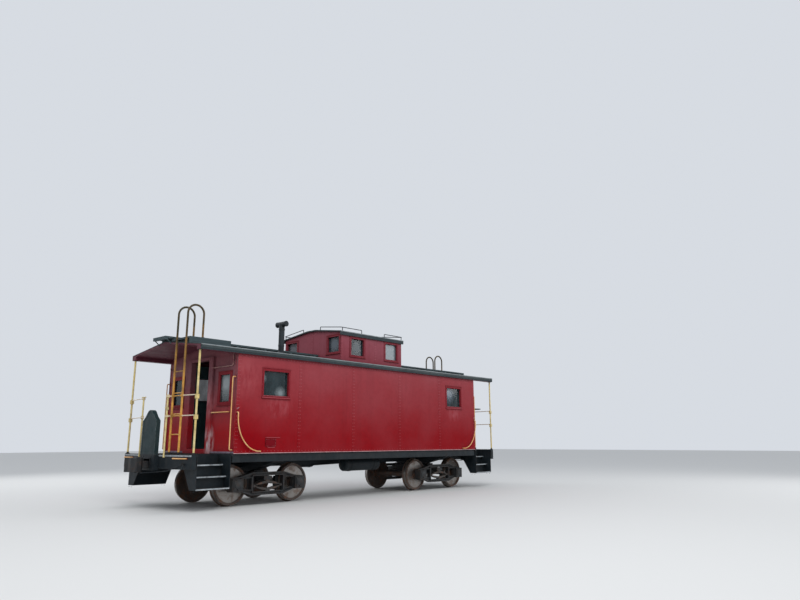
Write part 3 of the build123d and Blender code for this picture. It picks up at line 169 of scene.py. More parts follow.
def sheetShape(across, up, holes, place, thickness):
    # a grid of cells with holes, as thick as a real sheet; place puts (across, up, depth) in the frame
    def isOpen(i, j):
        a, b = (across[i] + across[i + 1]) / 2, (up[j] + up[j + 1]) / 2
        return any(low[0] < a < high[0] and low[1] < b < high[1] for low, high in holes)

    cells = {(i, j) for i in range(len(across) - 1) for j in range(len(up) - 1) if not isOpen(i, j)}
    points, faces, known = [], [], {}

    def corner(i, j, depth):
        if (i, j, depth) not in known:
            known[i, j, depth] = len(points)
            points.append(place(across[i], up[j], depth * thickness))
        return known[i, j, depth]

    for i, j in cells:
        around = [(i, j), (i + 1, j), (i + 1, j + 1), (i, j + 1)]
        beside = [(i, j - 1), (i + 1, j), (i, j + 1), (i - 1, j)]
        faces.append(tuple(corner(*c, 1) for c in around))
        faces.append(tuple(corner(*c, 0) for c in reversed(around)))
        for n, neighbour in enumerate(beside):
            if neighbour not in cells:
                a, b = around[n], around[(n + 1) % 4]
                faces.append((corner(*b, 1), corner(*a, 1), corner(*a, 0), corner(*b, 0)))
    return points, faces


def turnedShape(shape, sign):
    # the same shape at the other end of the car, turned half a turn about Z, when sign is -1
    points, faces = shape
    return [(sign * x, sign * y, z) for x, y, z in points], faces


def bothSides(shapes):
    return shapes + [([(x, -y, z) for x, y, z in points], faces) for points, faces in shapes]


def bothEnds(shapes):
    return shapes + [turnedShape(shape, -1) for shape in shapes]


def fourCorners(shapes):
    return bothEnds(bothSides(shapes))


def bowX(y):
    return car["deckNose"] - car["bowRadius"] + math.sqrt(car["bowRadius"] ** 2 - y ** 2)


def roofTop(y):
    return car["ridge"] - car["roofRise"] * abs(y) / car["roofHalfWidth"]


def roofUnder(y):
    return roofTop(y) - car["roofThickness"]


def cupolaTop(y):
    share = max(0.0, (abs(y) - cupola["flat"]) / (cupola["eaveY"] - cupola["flat"]))
    return cupola["eave"] + cupola["roofThickness"] + cupola["rise"] * (1 - share)


def spread(start, end, step):
    count = max(1, round(abs(end - start) / step))
    return [start + (end - start) * i / count for i in range(count + 1)]


def makePiece(name, shapes, finish, body="carbody", bevel=0.0, smoothTo=35):
    points, faces = [], []
    for shapePoints, shapeFaces in shapes:
        base = len(points)
        points.extend(shapePoints)
        faces.extend(tuple(base + i for i in face) for face in shapeFaces)
    mesh = bpy.data.meshes.new(name)
    mesh.from_pydata([tuple(p) for p in points], [], faces)
    tidy = bmesh.new()
    tidy.from_mesh(mesh)
    bmesh.ops.recalc_face_normals(tidy, faces=tidy.faces)
    tidy.to_mesh(mesh)
    tidy.free()
    mesh.shade_smooth()
    mesh.set_sharp_from_angle(angle=math.radians(smoothTo))
    mesh.materials.append(materials[finish])
    piece = bpy.data.objects.new(name, mesh)
    bpy.context.scene.collection.objects.link(piece)
    if bevel:
        rounding = piece.modifiers.new("rounding", "BEVEL")
        rounding.width = bevel
        rounding.segments = 2
        rounding.limit_method = "ANGLE"
        rounding.harden_normals = False
    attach(piece, body)
    return piece


# Materials

def addNode(tree, kind, inputs=None, **settings):
    node = tree.nodes.new(kind)
    for key, value in settings.items():
        setattr(node, key, value)
    for key, value in (inputs or {}).items():
        if isinstance(value, bpy.types.NodeSocket):
            tree.links.new(value, node.inputs[key])
        else:
            node.inputs[key].default_value = value
    return node


def rgba(colour):
    return (colour[0], colour[1], colour[2], 1.0)


def mixColour(tree, amount, first, second):
    pair = [c if isinstance(c, bpy.types.NodeSocket) else rgba(c) for c in (first, second)]
    return addNode(tree, "ShaderNodeMix", {0: amount, 6: pair[0], 7: pair[1]}, data_type="RGBA").outputs[2]


def calc(tree, operation, first, second=0.0, clamp=False):
    inputs = {0: first, 1: second}
    return addNode(tree, "ShaderNodeMath", inputs, operation=operation, use_clamp=clamp).outputs[0]


def vectorCalc(tree, operation, first, second=(0, 0, 0)):
    return addNode(tree, "ShaderNodeVectorMath", {0: first, 1: second}, operation=operation).outputs


def ramp(tree, value, low, high, start=0.0, end=1.0):
    inputs = {"Value": value, "From Min": low, "From Max": high, "To Min": start, "To Max": end}
    return addNode(tree, "ShaderNodeMapRange", inputs).outputs[0]


def grain(tree, where, scale, detail=4.0, stretch=(1, 1, 1), roughness=0.55):
    vector = where
    if stretch != (1, 1, 1):
        vector = addNode(tree, "ShaderNodeMapping", {"Vector": where, "Scale": stretch}).outputs[0]
    inputs = {"Vector": vector, "Scale": scale, "Detail": detail, "Roughness": roughness}
    return addNode(tree, "ShaderNodeTexNoise", inputs).outputs["Fac"]


def startMaterial(name):
    material = bpy.data.materials.new(name)
    material.use_nodes = True
    tree = material.node_tree
    where = addNode(tree, "ShaderNodeTexCoord").outputs["Object"]
    return material, tree, tree.nodes["Principled BSDF"], where


def addBump(tree, shader, height, strength, distance):
    bump = addNode(tree, "ShaderNodeBump", {"Height": height, "Strength": strength, "Distance": distance})
    tree.links.new(bump.outputs[0], shader.inputs["Normal"])


def edgeWear(tree, where, radius, amount):
    soft = addNode(tree, "ShaderNodeBevel", {"Radius": radius}, samples=4).outputs[0]
    hard = addNode(tree, "ShaderNodeNewGeometry").outputs["Normal"]
    edge = ramp(tree, vectorCalc(tree, "DOT_PRODUCT", soft, hard)["Value"], 0.99, 0.88)
    broken = ramp(tree, grain(tree, where, 16, 5), 0.62 - 0.3 * amount, 0.72 - 0.3 * amount)
    return calc(tree, "MULTIPLY", edge, broken, True)


def insideOf(tree, where, middleX, halfX, halfY):
    parts = addNode(tree, "ShaderNodeSeparateXYZ", {0: where}).outputs
    fromMiddle = calc(tree, "ABSOLUTE", calc(tree, "SUBTRACT", parts[0], middleX))
    within = calc(tree, "LESS_THAN", fromMiddle, halfX)
    return calc(tree, "MULTIPLY", within, calc(tree, "LESS_THAN", calc(tree, "ABSOLUTE", parts[1]), halfY))


def paintedSteel(name, look):
    material, tree, shader, where = startMaterial(name)
    parts = addNode(tree, "ShaderNodeSeparateXYZ", {0: where}).outputs
    height, across = parts[2], calc(tree, "ABSOLUTE", parts[1])
    fade = ramp(tree, grain(tree, where, look["patchScale"], 6), 0.36, 0.66)
    # Height ramp: on the end walls and doors it is painted shade, the roof overhang's shadow over their upper
    # part; on other pieces the colour just changes with height
    if "fadeFrom" in look:
        lift = ramp(tree, height, look["fadeFrom"], look["fadeTo"], 0.0, look["lift"])
        fade = calc(tree, "ADD", lift, calc(tree, "MULTIPLY", fade, look["clouds"]), True)
    fade = calc(tree, "MULTIPLY", fade, look["fading"])
    colour = mixColour(tree, fade, look["fresh"], look["faded"])
    mottle = ramp(tree, grain(tree, where, 11, 5), 0.45, 0.75, 0.0, look["mottle"])
    streaks = ramp(tree, grain(tree, where, 6, 4, (1, 1, 0.06)), 0.5, 0.78, 0.0, look["streaks"])
    # Darkening towards the dirt colour where ambient occlusion finds hollows, corners and gaps between parts:
    # partly dirt, partly painted shade
    hollow = addNode(tree, "ShaderNodeAmbientOcclusion", {"Distance": look["grimeReach"]}, samples=4)
    grime = ramp(tree, hollow.outputs["AO"], 0.95, 0.35, 0.0, look["grime"])
    for share in (mottle, streaks, grime):
        colour = mixColour(tree, share, colour, look["dirt"])
    for spot in look["spots"]:
        flat = vectorCalc(tree, "SUBTRACT", where, spot["place"])[0]
        flat = vectorCalc(tree, "MULTIPLY", flat, spot["shape"])[0]
        near = ramp(tree, vectorCalc(tree, "LENGTH", flat)["Value"], 1.0, 0.25)
        torn = ramp(tree, grain(tree, where, 9, 6, (1, 1, 0.35)), 0.38, 0.62, 0.0, spot["strength"])
        colour = mixColour(tree, calc(tree, "MULTIPLY", near, torn, True), colour, spot["colour"])
    wear = edgeWear(tree, where, look["edge"], look["wear"])
    colour = mixColour(tree, wear, colour, look.get("bare", look["rust"]))
    rusty = grain(tree, where, look["rustScale"], 8, (1, 1, 0.5), 0.7)
    rustMask = ramp(tree, rusty, look["rustFrom"], look["rustFrom"] + 0.05)
    colour = mixColour(tree, rustMask, colour, look["rust"])
    if "feet" in look:
        feet = look["feet"]
        colour = mixColour(tree, calc(tree, "LESS_THAN", height, feet["top"]), colour, feet["colour"])
    if "rails" in look:
        rails = look["rails"]
        level = calc(tree, "ABSOLUTE", calc(tree, "SUBTRACT", height, rails["middle"]))
        level = calc(tree, "ABSOLUTE", calc(tree, "SUBTRACT", level, rails["apart"]))
        onRail = calc(tree, "LESS_THAN", level, rails["half"])
        onRail = calc(tree, "MULTIPLY", onRail, calc(tree, "LESS_THAN", across, rails["reach"]))
        colour = mixColour(tree, onRail, colour, rails["colour"])
    if "soffit" in look:
        soffit = look["soffit"]
        depth = calc(tree, "ADD", height, calc(tree, "MULTIPLY", across, soffit["slope"]))
        under = calc(tree, "LESS_THAN", depth, soffit["skin"])
        under = calc(tree, "MULTIPLY", under, calc(tree, "LESS_THAN", across, soffit["reach"]))
        colour = mixColour(tree, under, colour, mixColour(tree, streaks, soffit["colour"], soffit["streak"]))
    for room in look["rooms"]:
        colour = mixColour(tree, insideOf(tree, where, *room["box"]), colour, room["colour"])
    tree.links.new(colour, shader.inputs["Base Color"])
    sheen = ramp(tree, grain(tree, where, 5, 4), 0.3, 0.7, look["gloss"] - 0.06, look["gloss"] + 0.10)
    worn = calc(tree, "MAXIMUM", wear, rustMask)
    sheen = calc(tree, "ADD", sheen, calc(tree, "MULTIPLY", worn, 0.35), True)
    tree.links.new(sheen, shader.inputs["Roughness"])
    relief = calc(tree, "MULTIPLY", grain(tree, where, 1.6, 3), look["dents"])
    relief = calc(tree, "ADD", relief, calc(tree, "MULTIPLY", grain(tree, where, 90, 3), 0.02))
    relief = calc(tree, "SUBTRACT", relief, calc(tree, "MULTIPLY", worn, 0.06))
    addBump(tree, shader, relief, 0.35, 0.02)
    shader.inputs["Specular IOR Level"].default_value = look["shine"]
    return material


def roughBoards(name, look):
    material, tree, shader, where = startMaterial(name)
    fibres = grain(tree, where, 3, 8, look["stretch"], 0.65)
    knots = grain(tree, where, 2.2, 3)
    colour = mixColour(tree, ramp(tree, fibres, 0.3, 0.7), look["dark"], look["light"])
    colour = mixColour(tree, ramp(tree, knots, 0.5, 0.75, 0.0, 0.6), colour, look["stain"])
    colour = mixColour(tree, edgeWear(tree, where, 0.006, 0.7), colour, look["worn"])
    tree.links.new(colour, shader.inputs["Base Color"])
    tree.links.new(ramp(tree, fibres, 0.2, 0.8, 0.75, 0.95), shader.inputs["Roughness"])
    addBump(tree, shader, fibres, 0.5, 0.004)
    return material


def castMetal(name, look):
    material, tree, shader, where = startMaterial(name)
    dust = ramp(tree, grain(tree, where, 5, 6), 0.42, 0.7, 0.0, look["dusting"])
    colour = mixColour(tree, dust, look["fresh"], look["dust"])
    rusty = ramp(tree, grain(tree, where, 8, 8, roughness=0.7), 0.5, 0.62, 0.0, look["rusting"])
    colour = mixColour(tree, rusty, colour, look["rust"])
    normal = addNode(tree, "ShaderNodeNewGeometry").outputs["Normal"]
    facing = addNode(tree, "ShaderNodeSeparateXYZ", {0: normal})
    settled = ramp(tree, facing.outputs[2], 0.3, 0.9, 0.0, 0.5)
    colour = mixColour(tree, settled, colour, look["dust"])
    tree.links.new(colour, shader.inputs["Base Color"])
    tree.links.new(ramp(tree, rusty, 0.0, 1.0, look["gloss"], 0.9), shader.inputs["Roughness"])
    relief = calc(tree, "MULTIPLY", grain(tree, where, 14, 4), 0.8)
    addBump(tree, shader, calc(tree, "ADD", grain(tree, where, 130, 3), relief), 0.25, 0.004)
    shader.inputs["Metallic"].default_value = look.get("metal", 0.0)
    return material


def dustyGlass(name, look):
    material, tree, shader, where = startMaterial(name)
    smears = ramp(tree, grain(tree, where, 3.5, 5, (1, 1, 0.5)), 0.35, 0.7)
    colour = mixColour(tree, smears, look["clear"], look["dust"])
    cover = ramp(tree, smears, 0.0, 1.0, look["seeThrough"], look["clouded"])
    # Patches of painted reflection: each mixes its colour into the glass and makes it nearly opaque there
    for place, reach, soft, paneColour in look["panes"]:
        away = vectorCalc(tree, "DISTANCE", where, place)["Value"]
        near = ramp(tree, away, reach, reach * soft)
        colour = mixColour(tree, near, colour, paneColour)
        cover = calc(tree, "MAXIMUM", cover, calc(tree, "MULTIPLY", near, 0.96))
    tree.links.new(colour, shader.inputs["Base Color"])
    tree.links.new(cover, shader.inputs["Alpha"])
    tree.links.new(ramp(tree, smears, 0.0, 1.0, 0.04, 0.16), shader.inputs["Roughness"])
    addBump(tree, shader, grain(tree, where, 3, 2), 0.08, 0.02)
    shader.inputs["IOR"].default_value = 1.5
    return material


paintDefaults = {
    "gloss": 0.5, "shine": 0.25, "patchScale": 0.9, "lift": 0.75, "clouds": 0.35, "fading": 0.6,
    "mottle": 0.4, "streaks": 0.3, "grime": 0.5, "grimeReach": 0.10, "wear": 0.5, "edge": 0.005,
    "rustScale": 3.0, "rustFrom": 0.70, "dents": 0.0, "spots": (), "rooms": (),
}


def paint(name, fresh, faded, dirt, rust, **look):
    colours = {"fresh": fresh, "faded": faded, "dirt": dirt, "rust": rust}
    return paintedSteel(name, {**paintDefaults, **colours, **look})


def redPaint(name, fresh, faded, base, **look):
    return paintedSteel(name, {**base, "fresh": fresh, "faded": faded, **look})


wallSkin, cupolaSkin = 0.074, 0.058
cabinRoom = {"box": (0.0, halfLength - wallSkin, halfWidth - wallSkin), "colour": (0.10, 0.20, 0.22)}
cupolaRoom = {"box": (cupola["x"], cupola["halfLength"] - cupolaSkin, cupola["halfWidth"] - cupolaSkin),
              "colour": (0.20, 0.25, 0.25)}
doorRoom = {"box": (4.0, 0.193, 1.4), "colour": (0.16, 0.32, 0.36)}
sideSpots = [
    {"place": (-3.15, -1.44, 2.14), "shape": (2.2, 2.0, 3.0), "colour": (0.44, 0.13, 0.15), "strength": 0.35},
    {"place": (-4.10, -1.44, 2.75), "shape": (2.0, 2.0, 1.8), "colour": (0.40, 0.10, 0.11), "strength": 0.35},
    {"place": (3.25, -1.44, 2.15), "shape": (2.6, 2.0, 4.0), "colour": (0.42, 0.13, 0.15), "strength": 0.35},
]
endSpots = [
    {"place": (-4.33, -0.50, 1.38), "shape": (3.0, 5.0, 2.6), "colour": (0.62, 0.56, 0.58), "strength": 1.0},
    {"place": (-4.33, -0.47, 2.25), "shape": (3.0, 6.0, 2.0), "colour": (0.48, 0.20, 0.22), "strength": 0.7},
    {"place": (4.33, 0.50, 1.33), "shape": (3.0, 5.0, 3.0), "colour": (0.42, 0.32, 0.34), "strength": 0.6},
]
bodyLook = {
    **paintDefaults, "dirt": (0.085, 0.008, 0.012), "rust": (0.11, 0.030, 0.014), "bare": (0.40, 0.13, 0.14),
    "gloss": 0.40, "shine": 0.05, "fadeFrom": 1.50, "fadeTo": 3.30, "fading": 0.95, "clouds": 0.22,
    "mottle": 0.14, "streaks": 0.16, "grime": 0.45, "wear": 0.25, "edge": 0.004, "rustFrom": 0.735,
    "dents": 0.45,
}
# On the end walls the height ramp is painted shade: the roof overhang's shadow makes the upper wall darker
# and greyer
endLook = {
    **bodyLook, "dirt": (0.07, 0.014, 0.020), "fadeFrom": 1.55, "fadeTo": 2.75, "lift": 0.9, "grime": 0.5,
    "streaks": 0.30, "mottle": 0.25, "wear": 0.5, "rooms": [cabinRoom],
}
trimLook = {**bodyLook, "wear": 0.5, "grime": 0.7, "grimeReach": 0.05}
railLook = {"gloss": 0.42, "rustFrom": 0.68, "rustScale": 7.0, "patchScale": 4.0}
materials = {
    "body": redPaint("bodyRedPaint", (0.235, 0.0010, 0.0045), (0.290, 0.062, 0.074), bodyLook,
                     rooms=[cabinRoom], spots=sideSpots),
    "endBody": redPaint("endRedPaint", (0.35, 0.006, 0.010), (0.200, 0.085, 0.098), endLook, spots=endSpots),
    "cupola": redPaint("cupolaRedPaint", (0.20, 0.012, 0.020), (0.255, 0.075, 0.098), bodyLook,
                       rooms=[cupolaRoom], fadeFrom=2.4, fadeTo=4.2),
    # Paler pink copy of the red paint for rivet heads and ledge lips: a painted highlight where light catches
    # their tops
    "rivets": redPaint("rivetHeadPaint", (0.38, 0.055, 0.065), (0.42, 0.15, 0.17), bodyLook,
                       wear=0.6, grime=0.8, grimeReach=0.03),
    "cupolaTrim": redPaint("cupolaTrimPaint", (0.15, 0.008, 0.014), (0.19, 0.030, 0.042), trimLook),
    "trim": redPaint("trimRedPaint", (0.16, 0.002, 0.007), (0.23, 0.026, 0.034), trimLook),
    # The doors share the end walls' height ramp, the painted shadow of the roof overhang
    "doors": redPaint("doorRedPaint", (0.16, 0.004, 0.010), (0.13, 0.03, 0.04), endLook, rooms=[doorRoom]),
    "roof": paint("roofDarkPaint", (0.012, 0.021, 0.026), (0.030, 0.046, 0.052), (0.016, 0.019, 0.020),
                  (0.06, 0.028, 0.016), bare=(0.12, 0.14, 0.14), gloss=0.55, grime=0.4, edge=0.006,
                  rustFrom=0.72, dents=0.8, soffit={
                      "slope": car["roofRise"] / car["roofHalfWidth"], "skin": car["ridge"] - 0.011,
                      "reach": 1.488, "colour": (0.105, 0.022, 0.036), "streak": (0.075, 0.040, 0.048)}),
    # Pale grey-blue copy of the roof paint for the eave mouldings: a painted highlight along the top of the
    # eaves
    "roofTrim": paint("roofTrimPaint", (0.17, 0.20, 0.21), (0.33, 0.365, 0.38), (0.055, 0.06, 0.06),
                      (0.12, 0.05, 0.025), wear=0.7, edge=0.006, dents=0.5),
    "roofBand": paint("roofBandPaint", (0.026, 0.040, 0.043), (0.055, 0.075, 0.078), (0.020, 0.024, 0.024),
                      (0.10, 0.045, 0.022), streaks=0.4, wear=0.6, edge=0.006, dents=0.5),
    "yellow": paint("railYellowPaint", (0.64, 0.49, 0.18), (0.70, 0.62, 0.36), (0.16, 0.11, 0.05),
                    (0.16, 0.055, 0.02), **railLook, mottle=0.5, streaks=0.35, rails={
                        "middle": 2.088, "apart": 0.205, "half": 0.0125, "reach": 1.375,
                        "colour": (0.66, 0.56, 0.44)}),
    "grabs": paint("grabOrangePaint", (0.78, 0.40, 0.14), (0.80, 0.54, 0.28), (0.20, 0.10, 0.05),
                   (0.16, 0.055, 0.02), **railLook),
    "ladder": paint("ladderOrangePaint", (0.70, 0.34, 0.06), (0.040, 0.032, 0.013), (0.12, 0.07, 0.03),
                    (0.14, 0.05, 0.02), gloss=0.42, mottle=0.55, wear=0.4, fadeFrom=2.2, fadeTo=4.1,
                    fading=1.0, lift=1.0, feet={"top": deck + 0.046, "colour": (0.012, 0.013, 0.015)},
                    rustFrom=0.66, rustScale=9.0, patchScale=5.0),
    "black": paint("underframeBlackPaint", (0.004, 0.008, 0.011), (0.013, 0.021, 0.027),
                   (0.026, 0.028, 0.028), (0.050, 0.022, 0.012), streaks=0.4, edge=0.006, grime=0.2,
                   rustFrom=0.66, patchScale=2.2, dents=0.3),
    "shield": paint("shieldGreenPaint", (0.006, 0.020, 0.023), (0.018, 0.042, 0.046), (0.028, 0.034, 0.034),
                    (0.07, 0.035, 0.02), bare=(0.12, 0.15, 0.15), mottle=0.5, streaks=0.35, wear=0.75,
                    edge=0.008, patchScale=3.0, dents=0.6),
    "fittings": paint("roofFittingsBlack", (0.010, 0.014, 0.018), (0.028, 0.038, 0.046),
                      (0.026, 0.026, 0.024), (0.09, 0.04, 0.022), gloss=0.55, mottle=0.5, wear=0.4,
                      rustFrom=0.64, patchScale=4.0),
    # Pale pink paint for the side sheets' lower edge strips and hooks: a painted highlight
    "paleEdge": paint("wornPaleEdge", (0.50, 0.28, 0.29), (0.58, 0.42, 0.43), (0.20, 0.06, 0.07),
                      (0.15, 0.05, 0.03), gloss=0.6, mottle=0.7, patchScale=3.0),
    # Pale grey paint for the deck edges and step nosings: a painted highlight along their edges
    "deckEdge": paint("wornDeckEdge", (0.30, 0.34, 0.36), (0.46, 0.48, 0.50), (0.05, 0.055, 0.06),
                      (0.12, 0.06, 0.04), gloss=0.6, mottle=0.8, streaks=0.5, patchScale=5.0),
    "kick": paint("wornKickStrip", (0.20, 0.15, 0.20), (0.36, 0.30, 0.36), (0.06, 0.04, 0.05),
                  (0.12, 0.05, 0.04), gloss=0.6, mottle=0.7, streaks=0.5, wear=0.4, patchScale=4.0),
    "conduit": paint("conduitPink", (0.36, 0.17, 0.16), (0.44, 0.28, 0.26), (0.16, 0.05, 0.06),
                     (0.15, 0.06, 0.03), mottle=0.5, patchScale=5.0),
    # reflection patches: middle, reach, share of the reach where it starts to fade out, and the colour
    # painted there, a painted reflection of sky and trees in the glass
    "glass": dustyGlass("dustyGlass", {
        "clear": (0.006, 0.018, 0.021), "dust": (0.026, 0.044, 0.050), "seeThrough": 0.60, "clouded": 0.78,
        "panes": [
            ((0.825, -1.10, 3.768), 0.36, 0.8, (0.19, 0.23, 0.25)),
            ((-0.465, -1.10, 3.768), 0.34, 0.3, (0.024, 0.040, 0.050)),
            ((-1.00, -0.850, 3.818), 0.34, 0.3, (0.075, 0.095, 0.115)),
            ((-1.00, 0.850, 3.818), 0.34, 0.3, (0.085, 0.085, 0.10)),
            ((-4.24, -0.985, 2.60), 0.42, 0.2, (0.26, 0.30, 0.31)),
            ((-3.08, -1.38, 2.42), 0.18, 0.2, (0.20, 0.24, 0.25)),
            ((-3.58, -1.38, 2.74), 0.12, 0.5, (0.12, 0.15, 0.16)),
            ((3.10, -1.38, 2.72), 0.30, 0.3, (0.12, 0.15, 0.18)),
        ]}),
    "clearGlass": dustyGlass("clearGlass", {
        "clear": (0.02, 0.03, 0.03), "dust": (0.10, 0.12, 0.12), "seeThrough": 0.03, "clouded": 0.10,
        "panes": []}),
    "walk": roughBoards("walkBoards", {
        "dark": (0.022, 0.038, 0.043), "light": (0.056, 0.084, 0.092), "stain": (0.030, 0.040, 0.043),
        "worn": (0.09, 0.11, 0.115), "stretch": (1, 14, 14)}),
    "floor": roughBoards("floorBoards", {
        "dark": (0.09, 0.06, 0.04), "light": (0.20, 0.15, 0.10), "stain": (0.06, 0.05, 0.04),
        "worn": (0.26, 0.22, 0.17), "stretch": (1, 14, 14)}),
    "casting": castMetal("truckCastSteel", {
        "fresh": (0.007, 0.009, 0.011), "dust": (0.042, 0.040, 0.037), "rust": (0.055, 0.025, 0.014),
        "dusting": 0.5, "rusting": 0.45, "gloss": 0.55}),
    "springs": castMetal("springSteel", {
        "fresh": (0.030, 0.027, 0.025), "dust": (0.07, 0.06, 0.05), "rust": (0.12, 0.05, 0.024),
        "dusting": 0.5, "rusting": 0.7, "gloss": 0.5}),
    "wheels": castMetal("rustyWheelSteel", {
        "fresh": (0.065, 0.042, 0.032), "dust": (0.10, 0.08, 0.065), "rust": (0.15, 0.062, 0.030),
        "dusting": 0.5, "rusting": 0.8, "gloss": 0.6}),
    "rubber": castMetal("gasketRubber", {
        "fresh": (0.012, 0.012, 0.012), "dust": (0.05, 0.048, 0.045), "rust": (0.03, 0.028, 0.026),
        "dusting": 0.6, "rusting": 0.3, "gloss": 0.7}),
    "tread": castMetal("rolledTread", {
        "fresh": (0.30, 0.28, 0.26), "dust": (0.16, 0.13, 0.11), "rust": (0.18, 0.085, 0.045),
        "dusting": 0.4, "rusting": 0.5, "gloss": 0.35, "metal": 0.8}),
    "brass": castMetal("tarnishedBrass", {
        "fresh": (0.45, 0.30, 0.12), "dust": (0.12, 0.10, 0.07), "rust": (0.16, 0.12, 0.06),
        "dusting": 0.5, "rusting": 0.5, "gloss": 0.35, "metal": 1.0}),
}
print("materials made:", len(materials))

finishNodes = {
    "black": ("underframe", "platform_a", "platform_b", "steps_a", "steps_b", "uncoupling_rods",
              "hand_brake", "air_brake_tanks"),
    "body": ("left_side_wall", "right_side_wall"), "endBody": ("end_wall_a", "end_wall_b"),
    "roof": ("main_roof", "cupola_roof"), "cupola": ("cupola_walls",), "trim": ("cabin_window_frames",),
    "cupolaTrim": ("cupola_window_frames",), "glass": ("window_glass",),
    "clearGlass": ("door_glass_a", "door_glass_b"), "doors": ("door_a", "door_b"),
    "yellow": ("end_railing_a", "end_railing_b"), "shield": ("end_shields",),
    "ladder": ("ladder_a", "ladder_b"), "walk": ("roof_walk",), "floor": ("cabin_floor",),
    "fittings": ("smoke_jack", "cupola_grab_irons"), "grabs": ("cabin_grab_irons",),
    "casting": ("coupler_a", "coupler_b"),
}
nodeFinish = {nodeName: finish for finish, nodeNames in finishNodes.items() for nodeName in nodeNames}
for nodeName, node in nodes.items():
    finish = nodeFinish.get(nodeName)
    if finish is None:
        finish = "springs" if "springs" in nodeName else "casting"
        if nodeName.startswith("wheelset"):
            finish = "wheels"
    node.data.materials.clear()
    node.data.materials.append(materials[finish])
print("nodes painted")

# Side sheets: five to a side, slightly buckled between their rivets
sheets = {"count": 5, "gap": 0.002, "thickness": 0.0035, "lift": 0.0004, "buckle": 0.0016, "cell": 0.12,
          "edge": 0.001, "nearest": 0.03, "stiffEdge": 0.25}
seams = [-halfLength + i * 2 * halfLength / sheets["count"] for i in range(sheets["count"] + 1)]
holeX, holeZ = sideWindow["width"] / 2 + sideWindow["side"], sideWindow["height"] / 2 + sideWindow["top"]


def withCuts(places, cuts):
    return sorted([p for p in places if min(abs(p - c) for c in cuts) > sheets["nearest"]] + list(cuts))


for side, sideName in ((-1, "right"), (1, "left")):
    shapes = []
    for left, right in zip(seams, seams[1:]):
        left, right = left + sheets["gap"] / 2, right - sheets["gap"] / 2
        low, high = sheetLow + sheets["edge"], sheetHigh - sheets["edge"]
        holes, across, up = [], spread(left, right, sheets["cell"]), spread(low, high, sheets["cell"])
        for middle in (-sideWindow["x"], sideWindow["x"]):
            if left < middle < right:
                cuts = (middle - holeX, middle + holeX)
                levels = (sideWindow["z"] - holeZ, sideWindow["z"] + holeZ)
                holes.append(((cuts[0], levels[0]), (cuts[1], levels[1])))
                across, up = withCuts(across, cuts), withCuts(up, levels)

        def onSide(a, u, depth, side=side, left=left, right=right, low=low, high=high):
            give = min(1.0, min(a - left, right - a, u - low, high - u) / sheets["stiffEdge"])
            buckle = sheets["buckle"] * give * noise.noise(Vector((a * 1.7, side * 5.0, u * 2.3)))
            return (a, side * (halfWidth + sheets["lift"] + depth + (buckle if depth else 0.0)), u)

        shapes.append(sheetShape(across, up, holes, onSide, sheets["thickness"]))
    makePiece(f"side_sheets_{sideName}", shapes, "body")

# Cover strips over the seams, with the rivets that hold them; the rivet heads are painted paler red, a
# painted highlight
strips = {"width": 0.070, "thickness": 0.003, "pitch": 0.080,
          "offset": 0.022, "endInsets": (0.022, 0.062), "rowPitch": 0.095}
outer = halfWidth + sheets["lift"] + sheets["thickness"]
stripY = outer + strips["thickness"]
shapes, rivets = [], []
for seam in seams[1:-1]:
    shapes.append(boxShape((seam - strips["width"] / 2, outer, sheetLow + 0.004),
                           (seam + strips["width"] / 2, stripY, sheetHigh - 0.002)))
for z in spread(sheetLow + 0.05, sheetHigh - 0.05, strips["pitch"]):
    offsets = (-strips["offset"], strips["offset"])
    places = [(seam + offset, stripY, z) for seam in seams[1:-1] for offset in offsets]
    places += [(along * (halfLength - inset), outer, z) for along in (-1, 1) for inset in strips["endInsets"]]
    rivets += domes(places, alongY, "sheetRivet")
for z in (sheetLow + 0.045, sheetHigh - 0.035):
    for left, right in zip(seams, seams[1:]):
        places = [(x, outer, z) for x in spread(left + 0.10, right - 0.10, strips["rowPitch"])]
        rivets += domes(places, alongY, "sheetRivet")
makePiece("seam_strips", bothSides(shapes), "body", bevel=0.001)
makePiece("side_rivets", bothSides(rivets), "rivets", smoothTo=60)
print("sides sheeted and riveted")

# Lower edge of the side sheets, with small hooks above the curved grab irons, painted pale pink as a painted
# highlight along the edge
edge = {"low": -0.0055, "high": 0.009, "proud": 0.010, "back": 0.03}
shapes = bothSides([boxShape((-halfLength, halfWidth - edge["back"], sheetLow + edge["low"]),
                             (halfLength, halfWidth + edge["proud"], sheetLow + edge["high"]))])
hook = {"x": 4.235, "z": 2.045, "rise": 0.030, "reach": 0.022, "radius": 0.006, "length": 0.035}
hookOut = outer + hook["reach"]
shapes += fourCorners([
    bentRod([(hook["x"], outer - 0.001, hook["z"]), (hook["x"], hookOut, hook["z"]),
             (hook["x"] - hook["length"], hookOut, hook["z"] + hook["rise"])], 0.015, hook["radius"], 8),
    centredBox((hook["x"], outer + 0.002, hook["z"]), (0.024, 0.004, 0.030))])
makePiece("side_edge_strips", shapes, "paleEdge", bevel=0.002)

